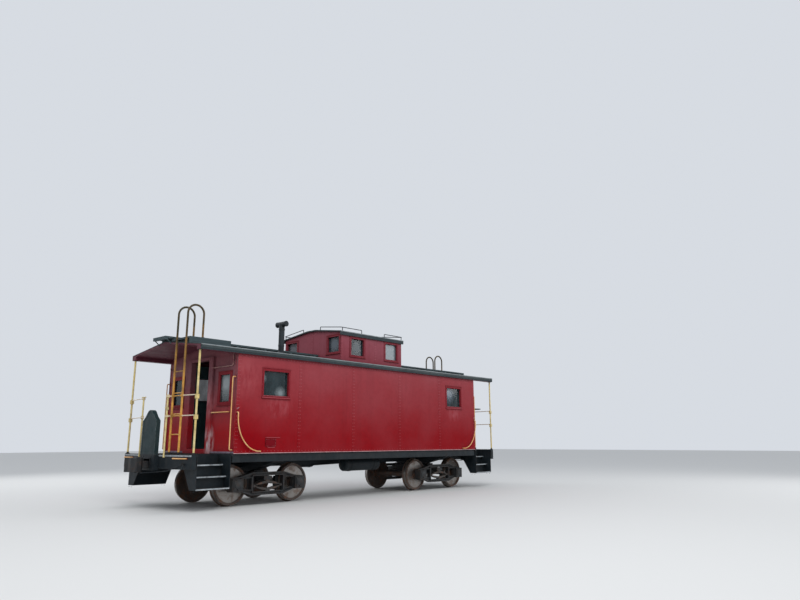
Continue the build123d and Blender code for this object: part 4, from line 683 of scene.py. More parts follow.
# Card frames, low on the sides; the lips along them are painted paler red, a painted highlight
card = {"left": -3.481, "right": -3.206, "low": 1.255, "high": 1.416, "rim": 0.012, "proud": 0.012,
        "topBar": (-3.483, -3.093, 1.448), "lowBar": (-3.420, -3.233, 1.238), "barHeight": 0.013}
cardBack, cardFront = -outer + 0.001, -outer - card["proud"]
shapes = [boxShape((card["left"], cardFront + 0.006, card["low"]), (card["right"], cardBack, card["high"]))]
for x in (card["left"], card["right"] - card["rim"]):
    shapes.append(boxShape((x, cardFront, card["low"]), (x + card["rim"], cardBack, card["high"])))
for z in (card["low"], card["high"] - card["rim"]):
    shapes.append(boxShape((card["left"], cardFront, z), (card["right"], cardBack, z + card["rim"])))
bars = [boxShape((x0, cardFront, z - card["barHeight"] / 2), (x1, cardBack, z + card["barHeight"] / 2))
        for x0, x1, z in (card["topBar"], card["lowBar"])]
makePiece("card_frames", bothEnds(shapes), "trim", bevel=0.0015)
makePiece("card_frame_lips", bothEnds(bars), "rivets", bevel=0.0015)


# Windows: drip caps, sills, glazing beads and screws round each opening; the lips under the side windows are
# painted paler red, a painted highlight
def onWall(place, out, u, v, depth):
    # u runs along the wall, v up, depth outwards from the wall's face
    x, y = place[0] + u * abs(out[1]), place[1] + u * abs(out[0])
    return (x + depth * out[0], y + depth * out[1], place[2] + v)


def wallBox(place, out, low, high):
    a, b = onWall(place, out, *low), onWall(place, out, *high)
    return boxShape([min(p, q) for p, q in zip(a, b)], [max(p, q) for p, q in zip(a, b)])


def dressWindow(place, out, opening, groups):
    halfW, halfH, proud = opening["width"] / 2, opening["height"] / 2, opening["proud"]
    outW, outH = halfW + opening["side"], halfH + opening["top"]
    bead, lightW, lightH = 0.007, halfW - opening["sash"], halfH - opening["sash"]
    back, front = -opening["glass"] + 0.0005, -opening["glass"] + 0.011

    def add(group, left, right, low, high, inner, outside):
        groups[group].append(wallBox(place, out, (left, low, inner), (right, high, outside)))

    add("sills", -outW - 0.010, outW + 0.010, -outH - 0.006, -outH + 0.012, 0.0, proud + 0.014)
    add("sills", -outW - 0.006, outW + 0.006, outH - 0.010, outH + 0.003, 0.0, proud + 0.009)
    if opening is sideWindow:
        add("lips", -outW, outW, -outH + 0.012, -outH + 0.024, proud - 0.001, proud + 0.010)
        add("lips", -halfW, halfW, -halfH - 0.004, -halfH + 0.004, proud - 0.001, proud + 0.005)
    add("beads", -lightW, lightW, -lightH, -lightH + bead, back, front)
    add("beads", -lightW, lightW, lightH - bead, lightH, back, front)
    add("beads", -lightW, -lightW + bead, -lightH, lightH, back, front)
    add("beads", lightW - bead, lightW, -lightH, lightH, back, front)
    for u in (-1, 1):
        for v in (-1, -0.34, 0.34, 1):
            at = onWall(place, out, u * (outW - opening["side"] / 2), v * (outH - opening["top"] / 2), proud)
            groups["screws"] += domes([at], out, "screw")


groups = {"sills": [], "lips": [], "beads": [], "screws": []}
for along in (-1, 1):
    for side in (-1, 1):
        cupolaFace = cupola["x"] + along * cupola["halfLength"]
        place = (along * sideWindow["x"], side * halfWidth, sideWindow["z"])
        dressWindow(place, (0, side, 0), sideWindow, groups)
        place = (along * halfLength, side * endWindow["y"], endWindow["z"])
        dressWindow(place, (along, 0, 0), endWindow, groups)
        place = (cupolaFace, side * cupolaEndWindow["y"], cupolaEndWindow["z"])
        dressWindow(place, (along, 0, 0), cupolaEndWindow, groups)
for x in cupolaSideWindow["x"]:
    for side in (-1, 1):
        place = (x, side * cupola["halfWidth"], cupolaSideWindow["z"])
        dressWindow(place, (0, side, 0), cupolaSideWindow, groups)
makePiece("window_sills", groups["sills"], "trim", bevel=0.002)
makePiece("window_lips", groups["lips"], "rivets", bevel=0.001)
makePiece("window_beads", groups["beads"], "rubber", bevel=0.0015)
makePiece("window_screws", groups["screws"], "trim")
print("windows dressed")

# End walls: corner angles, rivets, kick strips, conduits and marker brackets
endWall = {"rivetPitch": 0.080, "trimHalf": 0.535, "trimProud": 0.050, "corner": 0.050, "cornerThick": 0.006,
           "kickHigh": 1.158, "conduitZ": 2.968, "conduitY": 1.28,
           "conduitOut": 0.016, "bracketY": 1.33, "bracketZ": 3.048, "bracketOut": 0.055}
face = halfLength
shapes = [boxShape((face, halfWidth - endWall["corner"], sheetLow + 0.045),
                   (face + endWall["cornerThick"], halfWidth, sheetHigh - 0.002))]
rivets = []
for z in spread(1.23, 3.17, endWall["rivetPitch"]):
    places = [(face + endWall["cornerThick"], halfWidth - 0.026, z)]
    places += [(face + endWall["trimProud"], y, z) for y in (0.505, 0.405)]
    rivets += domes(places, alongX, "endRivet")
for y in spread(0.60, 1.34, endWall["rivetPitch"]):
    rivets += domes([(face, y, z) for z in (1.200, 3.183)], alongX, "endRivet")
for y in spread(0.04, 1.26, 0.10):
    rivets += domes([(face, y, roofUnder(y) - 0.035)], alongX, "gableRivet")
kick = [boxShape((face, endWall["trimHalf"] + 0.002, sheetLow + 0.001),
                 (face + 0.007, halfWidth - 0.004, endWall["kickHigh"]))]
bracketY, bracketZ, bracketX = endWall["bracketY"], endWall["bracketZ"], face + endWall["bracketOut"]
knobs = [
    bentRod([(face - 0.005, bracketY, bracketZ), (bracketX, bracketY, bracketZ),
             (bracketX, bracketY, bracketZ + 0.05)], 0.02, 0.010, 8),
    centredBox((face + 0.004, bracketY, bracketZ), (0.010, 0.06, 0.09))]
conduitX, conduitY, conduitZ = face + endWall["conduitOut"], endWall["conduitY"], endWall["conduitZ"]
conduit = [bentRod([(face + 0.052, 0.50, conduitZ), (conduitX, 0.56, conduitZ),
                    (conduitX, conduitY, conduitZ),
                    (conduitX, conduitY, roofUnder(conduitY) - 0.002)], 0.05, 0.012)]
conduit += [centredBox((face + 0.014, y, conduitZ), (0.030, 0.020, 0.036)) for y in (0.72, 1.10)]
makePiece("end_corner_angles", fourCorners(shapes), "endBody", bevel=0.0015)
makePiece("end_rivets", fourCorners(rivets), "endBody", smoothTo=60)
makePiece("end_kick_strips", fourCorners(kick), "kick", bevel=0.002)
makePiece("end_conduits", bothEnds(conduit), "conduit", bevel=0.001)
makePiece("marker_brackets", fourCorners(knobs), "endBody", bevel=0.002)

# Door dressing: raised panel, glazing beads, kick plate, knob and lock plate
leaf = {"back": 4.191, "front": 4.235, "pinX": 4.181, "pinY": 0.376, "lightHalf": 0.220, "lightLow": 2.248,
        "lightHigh": 3.008, "knobY": -0.307, "knobZ": 2.128, "kick": (-0.33, 0.30, 1.235, 1.375)}


def frameBars(x0, x1, halfY, low, high, width):
    spans = ((-halfY, halfY, low, low + width), (-halfY, halfY, high - width, high),
             (-halfY, -halfY + width, low, high), (halfY - width, halfY, low, high))
    return [boxShape((x0, y0, z0), (x1, y1, z1)) for y0, y1, z0, z1 in spans]


panels, beads = [], []
for x0, x1 in ((leaf["front"], leaf["front"] + 0.010), (leaf["back"] - 0.008, leaf["back"])):
    panels += frameBars(x0, x1, 0.235, 1.42, 2.05, 0.030)
    beads += frameBars(x0, x1, leaf["lightHalf"] + 0.012, leaf["lightLow"] - 0.012,
                       leaf["lightHigh"] + 0.012, 0.020)
kickLeft, kickRight, kickLow, kickHigh = leaf["kick"]
metal = [boxShape((leaf["front"], kickLeft, kickLow), (leaf["front"] + 0.003, kickRight, kickHigh)),
         boxShape((leaf["front"], leaf["knobY"] - 0.035, leaf["knobZ"] - 0.14),
                  (leaf["front"] + 0.005, leaf["knobY"] + 0.035, leaf["knobZ"] + 0.09)),
         latheShape([(0.0, 0.0), (0.012, 0.0), (0.012, 0.020), (0.028, 0.030), (0.028, 0.044), (0.0, 0.055)],
                    (leaf["back"], leaf["knobY"], leaf["knobZ"]), (-1, 0, 0), 16)]
places = [(leaf["front"] + 0.003, y, z) for y in (-0.31, -0.01, 0.28) for z in (1.25, 1.36)]
metal += domes(places, alongX, "screw")


def hungDoor(shapes, endName):
    if endName == "b":
        return shapes
    pinX, pinY, swung = leaf["pinX"], leaf["pinY"], []
    for points, faces in shapes:
        opened = [(pinX + y - pinY, pinY - x + pinX, z) for x, y, z in points]
        swung.append(([(-x, -y, z) for x, y, z in opened], faces))
    return swung


for endName, sign in ends:
    rider = f"door_leaf_{endName}"
    makePiece(f"door_panels_{endName}", hungDoor(panels, endName), "doors", rider, bevel=0.003)
    makePiece(f"door_beads_{endName}", hungDoor(beads, endName), "doors", rider, bevel=0.002)
    makePiece(f"door_fittings_{endName}", hungDoor(metal, endName), "brass", rider, bevel=0.001)
print("end walls and doors dressed")

# Roof: eave mouldings, bands, sheet ribs and end edges; the eave mouldings are painted pale grey-blue, a
# painted highlight above the dark bands
roofTrim = {"lip": 0.0055, "ribWidth": 0.045, "ribHeight": 0.014, "ribs": 7, "paleDepth": 0.022,
            "bandLow": 0.040, "bandProud": 0.0035, "ribReach": 1.497, "edgeReach": 1.502}
roofX, roofY, paleLow = car["roofHalfLength"], car["roofHalfWidth"], car["eaveHigh"] - roofTrim["paleDepth"]
pale = [boxShape((-roofX, roofY - 0.02, paleLow),
                 (roofX, roofY + roofTrim["lip"], car["eaveHigh"] + 0.002))]
band = [boxShape((-roofX, roofY - 0.02, sheetHigh + roofTrim["bandLow"]),
                 (roofX, roofY + roofTrim["bandProud"], paleLow))]
ribs, reach, rise = [], roofTrim["ribReach"], roofTrim["ribHeight"]
for x in [-roofX + 0.03 + i * (2 * roofX - 0.06) / roofTrim["ribs"] for i in range(roofTrim["ribs"] + 1)]:
    if abs(x - cupola["x"]) > cupola["halfLength"] + 0.03:
        outline = [(-reach, roofTop(reach) - 0.002), (0, roofTop(0) - 0.002),
                   (reach, roofTop(reach) - 0.002), (reach, roofTop(reach) + rise * 0.5),
                   (0, roofTop(0) + rise), (-reach, roofTop(reach) + rise * 0.5)]
        ribs.append(prismShape(outline, "x", x - roofTrim["ribWidth"] / 2, x + roofTrim["ribWidth"] / 2))
reach = roofTrim["edgeReach"]
outline = [(0, roofTop(0) + 0.003), (reach, roofTop(reach) + 0.003), (reach, roofTop(reach) - 0.010),
           (0, roofTop(0) - 0.010)]
dark = [prismShape(outline, "x", roofX - 0.012, roofX + 0.004)]
makePiece("eave_mouldings", bothSides(pale), "roofTrim", bevel=0.003)
makePiece("eave_bands", bothSides(band), "roofBand", bevel=0.001)
makePiece("roof_ribs", ribs, "roof", bevel=0.004)
makePiece("roof_edge_angles", fourCorners(dark), "roof", bevel=0.002)

# Roof walks: bolts over every cleat, and the smoke jack's bands
walk = {"top": 3.598, "cleat": 0.060, "lateralTop": 3.528, "boards": (-0.187, 0, 0.187),
        "lateralCleats": (0.095, 0.500, 0.905), "lateralStart": 0.282, "lateralPitch": 0.150,
        "lateralBoard": 0.138}
bolts = []
for sign in (-1, 1):
    startX = cupola["halfLength"] + sign * cupola["x"]
    cleats = [startX + 0.08 + i * (roofX - startX - 0.2) / 5 + walk["cleat"] / 2 for i in range(6)]
    cleats.append(roofX + 0.12)
    places = [(x, y + offset, walk["top"])
              for x in cleats for y in walk["boards"] for offset in (-0.045, 0.045)]
    places += [(roofX - 0.005 - inset,
                walk["lateralStart"] + walk["lateralPitch"] * i + walk["lateralBoard"] / 2 + offset,
                walk["lateralTop"])
               for inset in walk["lateralCleats"] for i in range(5) for offset in (-0.035, 0.035)]
    bolts += [turnedShape(shape, sign) for shape in domes(places, alongZ, "walkBolt")]
makePiece("walk_bolts", bolts, "fittings", smoothTo=60)

jack = {"x": -2.480, "y": -0.550, "radius": 0.070, "top": 4.188, "capHalf": 0.180, "capRadius": 0.065,
        "bands": (3.66, 4.06), "boltCircle": 0.125, "boltZ": 3.474, "sides": 28}
rings = [bandShape(jack["radius"], 0.006, 0.016, (jack["x"], jack["y"], z), alongZ, jack["sides"])
         for z in jack["bands"]]
for side in (-1, 1):
    capEnd = (jack["x"], jack["y"] + side * (jack["capHalf"] - 0.012), jack["top"])
    rings.append(bandShape(jack["capRadius"], 0.005, 0.010, capEnd, alongY, jack["sides"]))
for i in range(8):
    turn = i * math.pi / 4
    x, y = jack["x"] + jack["boltCircle"] * math.cos(turn), jack["y"] + jack["boltCircle"] * math.sin(turn)
    rings += domes([(x, y, jack["boltZ"])], alongZ, "jackNut")
makePiece("smoke_jack_bands", rings, "fittings", smoothTo=50)
print("roof trimmed")

# Cupola: corner angles, seams, rivets, roof seams and eave mouldings; the rivet heads are painted paler red
# and the eave mouldings pale grey-blue, both painted highlights
cup = {"thickness": 0.004, "corner": 0.045, "rivetPitch": 0.070, "low": 3.370, "seam": 0.0975, "rib": 0.012,
       "roofEnd": 0.050, "ribReach": 1.19}
cupX, cupY = cupola["halfLength"], cupola["halfWidth"]
cupOut, cupLow, bandLow = cupY + cup["thickness"] / 2, cup["low"] + 0.02, cupola["bandLow"]
shapes, rivets = [], []
for along in (-1, 1):
    x = cupola["x"] + along * cupX
    inner, front = x - along * cup["corner"], x + along * cup["thickness"]
    shapes += [boxShape((min(x, inner), cupY, cupLow), (max(x, inner), cupOut, bandLow)),
               boxShape((min(x, front), cupY - cup["corner"], cupLow),
                        (max(x, front), cupY, cupola["eave"] - 0.001)),
               boxShape((min(x, front), -0.001, roofTop(0.035) + 0.004),
                        (max(x, front), 0.035, cupola["eave"] + 0.118))]
    for z in spread(cup["low"] + 0.07, bandLow - 0.04, cup["rivetPitch"]):
        rivets += domes([(x - along * 0.022, cupOut, z)], alongY, "cupolaRivet")
        rivets += domes([(front, cupY - 0.022, z)], (along, 0, 0), "cupolaRivet")
    places = [(front, 0.02, z) for z in spread(3.63, 4.15, cup["rivetPitch"])]
    rivets += domes(places, (along, 0, 0), "cupolaRivet")
    places = [(x, y, cupolaTop(y) - cupola["roofThickness"] - 0.030) for y in spread(0.06, 1.08, 0.09)]
    rivets += domes(places, (along, 0, 0), "cupolaRivet")
seamX = cupola["x"] + cup["seam"]
shapes.append(boxShape((seamX - 0.03, cupY, cupLow), (seamX + 0.03, cupOut, bandLow)))
for z in spread(cup["low"] + 0.07, bandLow - 0.04, cup["rivetPitch"]):
    rivets += domes([(seamX + offset, cupOut, z) for offset in (-0.018, 0.018)], alongY, "cupolaRivet")
places = [(x, cupY, bandLow - 0.022)
          for x in spread(cupola["x"] - cupX + 0.08, cupola["x"] + cupX - 0.08, 0.085)
          if min(abs(x - w) for w in cupolaSideWindow["x"]) > 0.30]
rivets += domes(places, alongY, "cupolaRivet")
roofEnd = cupX + cup["roofEnd"]
eaveTop = cupolaTop(cupola["eaveY"])
moulding = [boxShape((cupola["x"] - roofEnd - 0.002, cupola["eaveY"] - 0.01, eaveTop - 0.020),
                     (cupola["x"] + roofEnd + 0.002, cupola["eaveY"] + 0.004, eaveTop + 0.002))]
seamsOver, reach, flat = [], cup["ribReach"], cupola["flat"]
for x in [cupola["x"] - roofEnd + 0.02 + i * (2 * roofEnd - 0.04) / 4 for i in range(5)]:
    outline = [(-reach, cupolaTop(reach) - 0.002), (-flat, cupolaTop(0) - 0.002),
               (flat, cupolaTop(0) - 0.002), (reach, cupolaTop(reach) - 0.002),
               (reach, cupolaTop(reach) + 0.004),
               (flat, cupolaTop(0) + cup["rib"]), (-flat, cupolaTop(0) + cup["rib"]),
               (-reach, cupolaTop(reach) + 0.004)]
    seamsOver.append(prismShape(outline, "x", x - 0.015, x + 0.015))
makePiece("cupola_angles", bothSides(shapes), "cupola", bevel=0.001)
makePiece("cupola_rivets", bothSides(rivets), "rivets", smoothTo=60)
makePiece("cupola_mouldings", bothSides(moulding), "roofTrim", bevel=0.002)
makePiece("cupola_roof_seams", seamsOver, "roof", bevel=0.003)
print("cupola dressed")

# End platforms: deck edge painted pale grey as a painted highlight, tread pattern, sill rivets and the buffer
# block's frame
platform = {"edgeLow": 1.068, "edgeHigh": 1.098, "bufferFace": 5.414, "bufferProud": 0.010,
            "pocketHalf": 0.130, "pocketRim": 0.022, "pocketLow": 0.8285, "pocketHigh": 1.0185,
            "gripPitch": 0.058, "gripSize": (0.034, 0.008, 0.003)}
outlineY = spread(0.304, 1.430, 0.14)
outline = [(bowX(y) + 0.004, y) for y in outlineY] + [(bowX(y) - 0.002, y) for y in reversed(outlineY)]
deckEdges = [prismShape(outline, "z", platform["edgeLow"], platform["edgeHigh"])]
gripLong, gripWide, gripHigh = platform["gripSize"]
grip = []
for i, x in enumerate(spread(4.31, 5.18, platform["gripPitch"])):
    for j, y in enumerate(spread(0.03, 0.89, platform["gripPitch"])):
        if x < bowX(y) - 0.05 and abs(x - 5.25) + abs(y - 0.59) > 0.12:
            size = (gripLong, gripWide, gripHigh) if (i + j) % 2 else (gripWide, gripLong, gripHigh)
            grip.append(centredBox((x, y, deck + 0.0010), size))
places = [(bowX(y), y, z) for y in spread(0.36, 1.40, 0.13) for z in (0.845, 1.045) if abs(y - 0.53) > 0.03]
rivets = domes(places, alongX, "endSillRivet")
places = [(platform["bufferFace"], y, z) for y in (0.165, 0.265) for z in (0.815, 0.925, 1.065)]
rivets += domes(places, alongX, "bufferBolt")
front = platform["bufferFace"] + platform["bufferProud"]
pocketEnd = platform["pocketHalf"] + platform["pocketRim"]
pocket = [boxShape((platform["bufferFace"], -0.001, z), (front, pocketEnd, z + platform["pocketRim"]))
          for z in (platform["pocketLow"] - platform["pocketRim"], platform["pocketHigh"])]
pocket.append(boxShape((platform["bufferFace"], platform["pocketHalf"], platform["pocketLow"] - 0.01),
                       (front, pocketEnd, platform["pocketHigh"] + 0.01)))
makePiece("deck_edges", fourCorners(deckEdges), "deckEdge", bevel=0.0015)
makePiece("deck_grip", fourCorners(grip), "black")
makePiece("end_sill_rivets", fourCorners(rivets), "black", smoothTo=60)
makePiece("buffer_frames", fourCorners(pocket), "black", bevel=0.002)

# Steps: grip bars and a nosing on each tread painted pale grey as a painted highlight, bolts on the stringers
step = {"left": 4.318, "right": 5.082, "inner": (0.935, 1.065, 1.195), "outer": (1.151, 1.288, 1.425),
        "top": (0.902, 0.672, 0.442), "stringers": ((5.090, 1), (4.310, -1)), "barPitch": 0.036}
bars, noses, bolts = [], [], []
for inner, outside, top in zip(step["inner"], step["outer"], step["top"]):
    bars += [boxShape((step["left"] + 0.01, y, top - 0.001), (step["right"] - 0.01, y + 0.009, top + 0.003))
             for y in spread(inner + 0.03, outside - 0.035, step["barPitch"])]
    noses.append(boxShape((step["left"], outside - 0.014, top - 0.024),
                          (step["right"], outside + 0.003, top + 0.004)))
    for x, sign in step["stringers"]:
        places = [(x, inner + share * (outside - inner), top - 0.055) for share in (0.3, 0.75)]
        bolts += domes(places, (sign, 0, 0), "stepBolt")
makePiece("step_grip", fourCorners(bars), "black")
makePiece("step_nosings", fourCorners(noses), "deckEdge", bevel=0.002)
makePiece("step_bolts", fourCorners(bolts), "black", smoothTo=60)
print("platforms and steps dressed")

# Shields: a flat rim round the front, bolts, and stiffeners behind
shield = {"face": 5.414, "back": 5.326, "half": 0.295, "shoulder": 1.800, "neckHalf": 0.190,
          "crownHalf": 0.120, "crown": 1.958, "top": 2.022, "rim": 0.028, "proud": 0.006}


def shieldOutline(inset):
    crownHalf, crownRise = shield["crownHalf"], shield["top"] - shield["crown"]
    radius = (crownHalf ** 2 + crownRise ** 2) / (2 * crownRise)
    arc = []
    for i in range(7):
        y = crownHalf * (1 - i / 3)
        z = shield["top"] - radius + math.sqrt(radius ** 2 - y * y) - inset
        arc.append((y * (1 - inset / crownHalf), z))
    half, neck = shield["half"] - inset, shield["neckHalf"] - inset
    low, shoulder = deck + 0.002 + inset, shield["shoulder"] - inset / 2
    neckZ = (shield["shoulder"] + shield["crown"]) / 2 - inset / 2
    right = [(-half, low), (half, low), (half, shoulder), (neck, neckZ)]
    return right + arc + [(-neck, neckZ), (-half, shoulder)]


wide, narrow = shieldOutline(0.0), shieldOutline(shield["rim"])
rim, front = [], shield["face"] + shield["proud"]
for i in range(len(wide)):
    j = (i + 1) % len(wide)
    rim.append(prismShape([wide[i], wide[j], narrow[j], narrow[i]], "x", shield["face"], front))
places = [(front, y, z) for y in (-0.281, 0.281) for z in spread(1.18, 1.74, 0.14)]
bolts = domes(places, alongX, "rimBolt")
bolts += domes([(shield["face"], y, z) for y in (-0.12, 0.12) for z in (1.24, 1.62)], alongX, "shieldBolt")
stiff = [boxShape((shield["back"] - 0.020, -0.24, z), (shield["back"], 0.24, z + 0.05)) for z in (1.30, 1.62)]
makePiece("shield_rims", bothEnds(rim), "shield")
makePiece("shield_bolts", bothEnds(bolts), "shield", smoothTo=60)
makePiece("shield_stiffeners", bothEnds(stiff), "shield", bevel=0.003)

# Railings and ladders: bolts in the collars, flanges at feet and heads, and a latch on one short post
rail = {"postX": 5.170, "postY": 1.410, "midX": 5.3302, "midY": 0.530, "rises": (1.883, 2.293), "drop": 0.036,
        "ladderX": 5.250, "ladderY": (0.590, 0.970), "ladderBack": 0.375, "latchZ": 2.040}
postX, postY, midX, midY = rail["postX"], rail["postY"], rail["midX"], rail["midY"]
bolts = []
for z in rail["rises"]:
    for x, sign in ((postX + 0.033, 1), (postX - 0.033, -1)):
        places = [(x, postY, z - rail["drop"] + dz) for dz in (-0.026, 0.026)]
        bolts += domes(places, (sign, 0, 0), "collarBolt")
    bolts += domes([(midX + 0.025, midY, z + dz) for dz in (-0.016, 0.016)], alongX, "railBolt")
feet = [centredBox((postX, postY, deck + 0.004), (0.084, 0.046, 0.008)),
        centredBox((postX, postY, sheetHigh - 0.004), (0.080, 0.080, 0.008)),
        latheShape([(0.020, 0.008), (0.028, 0.008), (0.028, 0.030), (0.020, 0.036)],
                   (postX, postY, deck), alongZ, 16)]
feet += domes([(postX + dx, postY, deck + 0.008) for dx in (-0.033, 0.033)], alongZ, "flangeBolt")
latch = [centredBox((midX - 0.004, midY, rail["latchZ"]), (0.046, 0.052, 0.062)),
         tubeShape([(midX + 0.018, midY, rail["latchZ"] + 0.005),
                    (midX + 0.045, midY - 0.01, rail["latchZ"] + 0.012)], 0.008, 8)]
places = [(rail["ladderX"] + 0.025, y, z + dz)
          for y in rail["ladderY"] for z in rail["rises"] for dz in (-0.013, 0.013)]
ladderBolts = domes(places, alongX, "railBolt")
ladderFeet = [latheShape([(0.021, 0.0), (0.042, 0.0), (0.042, 0.008), (0.021, 0.012)],
                         (rail["ladderX"] - rail["ladderBack"], y, walk["lateralTop"]), alongZ, 16)
              for y in rail["ladderY"]]
makePiece("rail_bolts", fourCorners(bolts), "yellow", smoothTo=60)
makePiece("post_flanges", fourCorners(feet), "black", bevel=0.001)
makePiece("rail_latches", bothEnds(latch), "yellow", bevel=0.003)
makePiece("ladder_bolts", bothEnds(ladderBolts), "ladder", smoothTo=60)
makePiece("ladder_flanges", bothEnds(ladderFeet), "fittings", smoothTo=50)

# Pads and bolts where the grab irons meet the walls
grab = {"sidePads": ((4.235, 1.969), (3.625, 1.160)), "cornerY": 1.390, "cornerPads": (2.718, 1.193),
        "crossPads": (0.580, 1.200), "crossZ": 1.981, "sillPads": (0.900, 1.290), "sillZ": 1.033}
pads, bolts = [], []
for x, z in grab["sidePads"]:
    pads.append(centredBox((x, outer + 0.003, z), (0.034, 0.006, 0.070)))
    bolts += domes([(x, outer + 0.006, z + dz) for dz in (-0.025, 0.025)], alongY, "grabBolt")
for z in grab["cornerPads"]:
    pads.append(centredBox((face + 0.009, grab["cornerY"], z), (0.006, 0.034, 0.070)))
    bolts += domes([(face + 0.012, grab["cornerY"], z + dz) for dz in (-0.025, 0.025)], alongX, "grabBolt")
crossPads = [centredBox((face + 0.003, y, grab["crossZ"]), (0.006, 0.060, 0.034)) for y in grab["crossPads"]]
for y in grab["sillPads"]:
    pads.append(centredBox((bowX(y) + 0.004, y, grab["sillZ"]), (0.008, 0.056, 0.034)))
makePiece("grab_pads", fourCorners(pads) + bothEnds(crossPads), "trim", bevel=0.001)
makePiece("grab_bolts", fourCorners(bolts), "trim", smoothTo=60)
print("railings, ladders and grab irons dressed")

# Couplers: pin heads, knuckle ribs and the carrier under the shank
head = {"low": 0.756, "high": 1.046, "pin": (5.700, 0.105), "carrierX": 5.432, "ribZ": (0.800, 0.900, 1.000)}
shapes = [latheShape([(0.0, -0.012), (0.030, -0.012), (0.030, 0.006), (0.022, 0.016), (0.0, 0.018)],
                     (*head["pin"], head["high"] - 0.010), alongZ, 16),
          latheShape([(0.0, -0.018), (0.024, -0.016), (0.024, 0.010), (0.0, 0.010)],
                     (*head["pin"], head["low"] + 0.010), alongZ, 16),
          centredBox((5.600, 0.0, head["high"] + 0.004), (0.120, 0.100, 0.016)),
          centredBox((5.575, 0.0, head["low"] - 0.006), (0.040, 0.070, 0.016)),
          centredBox((head["carrierX"], 0.0, platform["pocketLow"] - 0.014), (0.036, 0.300, 0.026))]
shapes += [centredBox((5.683, -0.150, z), (0.120, 0.020, 0.014)) for z in head["ribZ"]]
makePiece("coupler_details", bothEnds(shapes), "casting", bevel=0.003)

# Hand brake: ratchet wheel, pawl and the rim's grips
brake = {"x": 5.225, "y": -0.720, "wheelZ": 2.380, "radius": 0.220, "teeth": 24, "tip": 0.046, "root": 0.037,
         "ratchetLow": 0.052, "ratchetHigh": 0.066, "grips": 10}
brakeX, brakeY = brake["x"], brake["y"]
teeth = []
for i in range(brake["teeth"]):
    for radius, turn in ((brake["tip"], i), (brake["root"], i + 0.8)):
        turn = 2 * math.pi * turn / brake["teeth"]
        teeth.append((brakeX + radius * math.cos(turn), brakeY + radius * math.sin(turn)))
ratchet = (deck + brake["ratchetLow"], deck + brake["ratchetHigh"])
shapes = [prismShape(teeth, "z", *ratchet),
          centredBox((brakeX - 0.062, brakeY, deck + 0.030), (0.014, 0.030, 0.060)),
          boxShape((brakeX - 0.066, brakeY - 0.006, ratchet[0]),
                   (brakeX - 0.040, brakeY + 0.006, ratchet[1])),
          latheShape([(0.0, 0.018), (0.020, 0.018), (0.020, 0.034), (0.012, 0.040), (0.0, 0.040)],
                     (brakeX, brakeY, brake["wheelZ"]), alongZ, 12)]
for i in range(brake["grips"]):
    turn = math.radians(36 * i + 18)
    gripAt = (brakeX + brake["radius"] * math.cos(turn), brakeY + brake["radius"] * math.sin(turn),
              brake["wheelZ"])
    shapes.append(latheShape([(0.0, -0.013), (0.0135, -0.010), (0.0135, 0.010), (0.0, 0.013)],
                             gripAt, (-math.sin(turn), math.cos(turn), 0), 10))
makePiece("hand_brake_details", shapes, "black", smoothTo=50)

# Under the floor: train pipe, brake rods, tank heads and straps, sill rivets
under = {"pipeY": 0.300, "pipeZ": 0.900, "rodZ": 0.755, "leverX": 0.30, "leverZ": 0.826,
         "tanks": ((0.0, -0.800, 0.796, 0.170, 0.575), (-0.800, 0.780, 0.826, 0.140, 0.480))}
pipeY, pipeZ, leverX, leverZ = under["pipeY"], under["pipeZ"], under["leverX"], under["leverZ"]
pipes = [bentRod([(-5.05, 0.24, 0.905), (-4.70, 0.30, pipeZ), (-4.40, pipeY, pipeZ), (4.40, pipeY, pipeZ),
                  (4.70, 0.30, pipeZ), (5.05, 0.24, 0.905)], 0.10, 0.017),
         bentRod([(0.45, -0.80, 0.965), (0.45, -0.45, 0.965), (0.45, 0.20, 0.930), (0.45, pipeY, pipeZ)],
                 0.05, 0.011, 8),
         tubeShape([(-0.31, 0.780, leverZ), (leverX, 0.780, leverZ)], 0.014, 10),
         tubeShape([(leverX, 0.840, leverZ), (leverX, -0.420, leverZ)], 0.016, 8),
         tubeShape([(leverX, -0.10, leverZ), (1.70, -0.10, under["rodZ"])], 0.012, 8),
         tubeShape([(leverX, -0.40, leverZ), (-1.70, -0.10, under["rodZ"])], 0.012, 8)]
hangers = [boxShape((x - 0.015, -0.125, under["rodZ"] - 0.02), (x + 0.015, -0.075, 0.792))
           for x in (-1.70, 1.70)]
hangers += [boxShape((x - 0.012, pipeY - 0.022, pipeZ), (x + 0.012, pipeY + 0.022, 0.990))
            for x in (-1.2, -0.4, 0.4, 1.2)]
tanks = []
for x, y, z, radius, half in under["tanks"]:
    profile = [(0.0, -0.004), (radius, -0.004), (radius * 0.96, 0.016), (radius * 0.75, 0.040),
               (radius * 0.4, 0.052), (0.0, 0.056)]
    for sign in (-1, 1):
        tanks.append(latheShape(profile, (x + sign * half, y, z), (sign, 0, 0), 32))
        tanks.append(bandShape(radius, 0.004, 0.008, (x + sign * (half - 0.09), y, z), alongX, 32))
places = [(x, 1.400, z) for x in spread(-4.18, 4.18, 0.16) for z in (0.965, 1.085)]
sillRivets = domes(places, alongY, "sideSillRivet")
makePiece("under_pipes", pipes, "black", smoothTo=50)
makePiece("under_hangers", hangers, "black", bevel=0.002)
makePiece("tank_heads", tanks, "black", smoothTo=50)
makePiece("side_sill_rivets", bothSides(sillRivets), "black", smoothTo=60)
print("couplers, brake and underframe dressed")

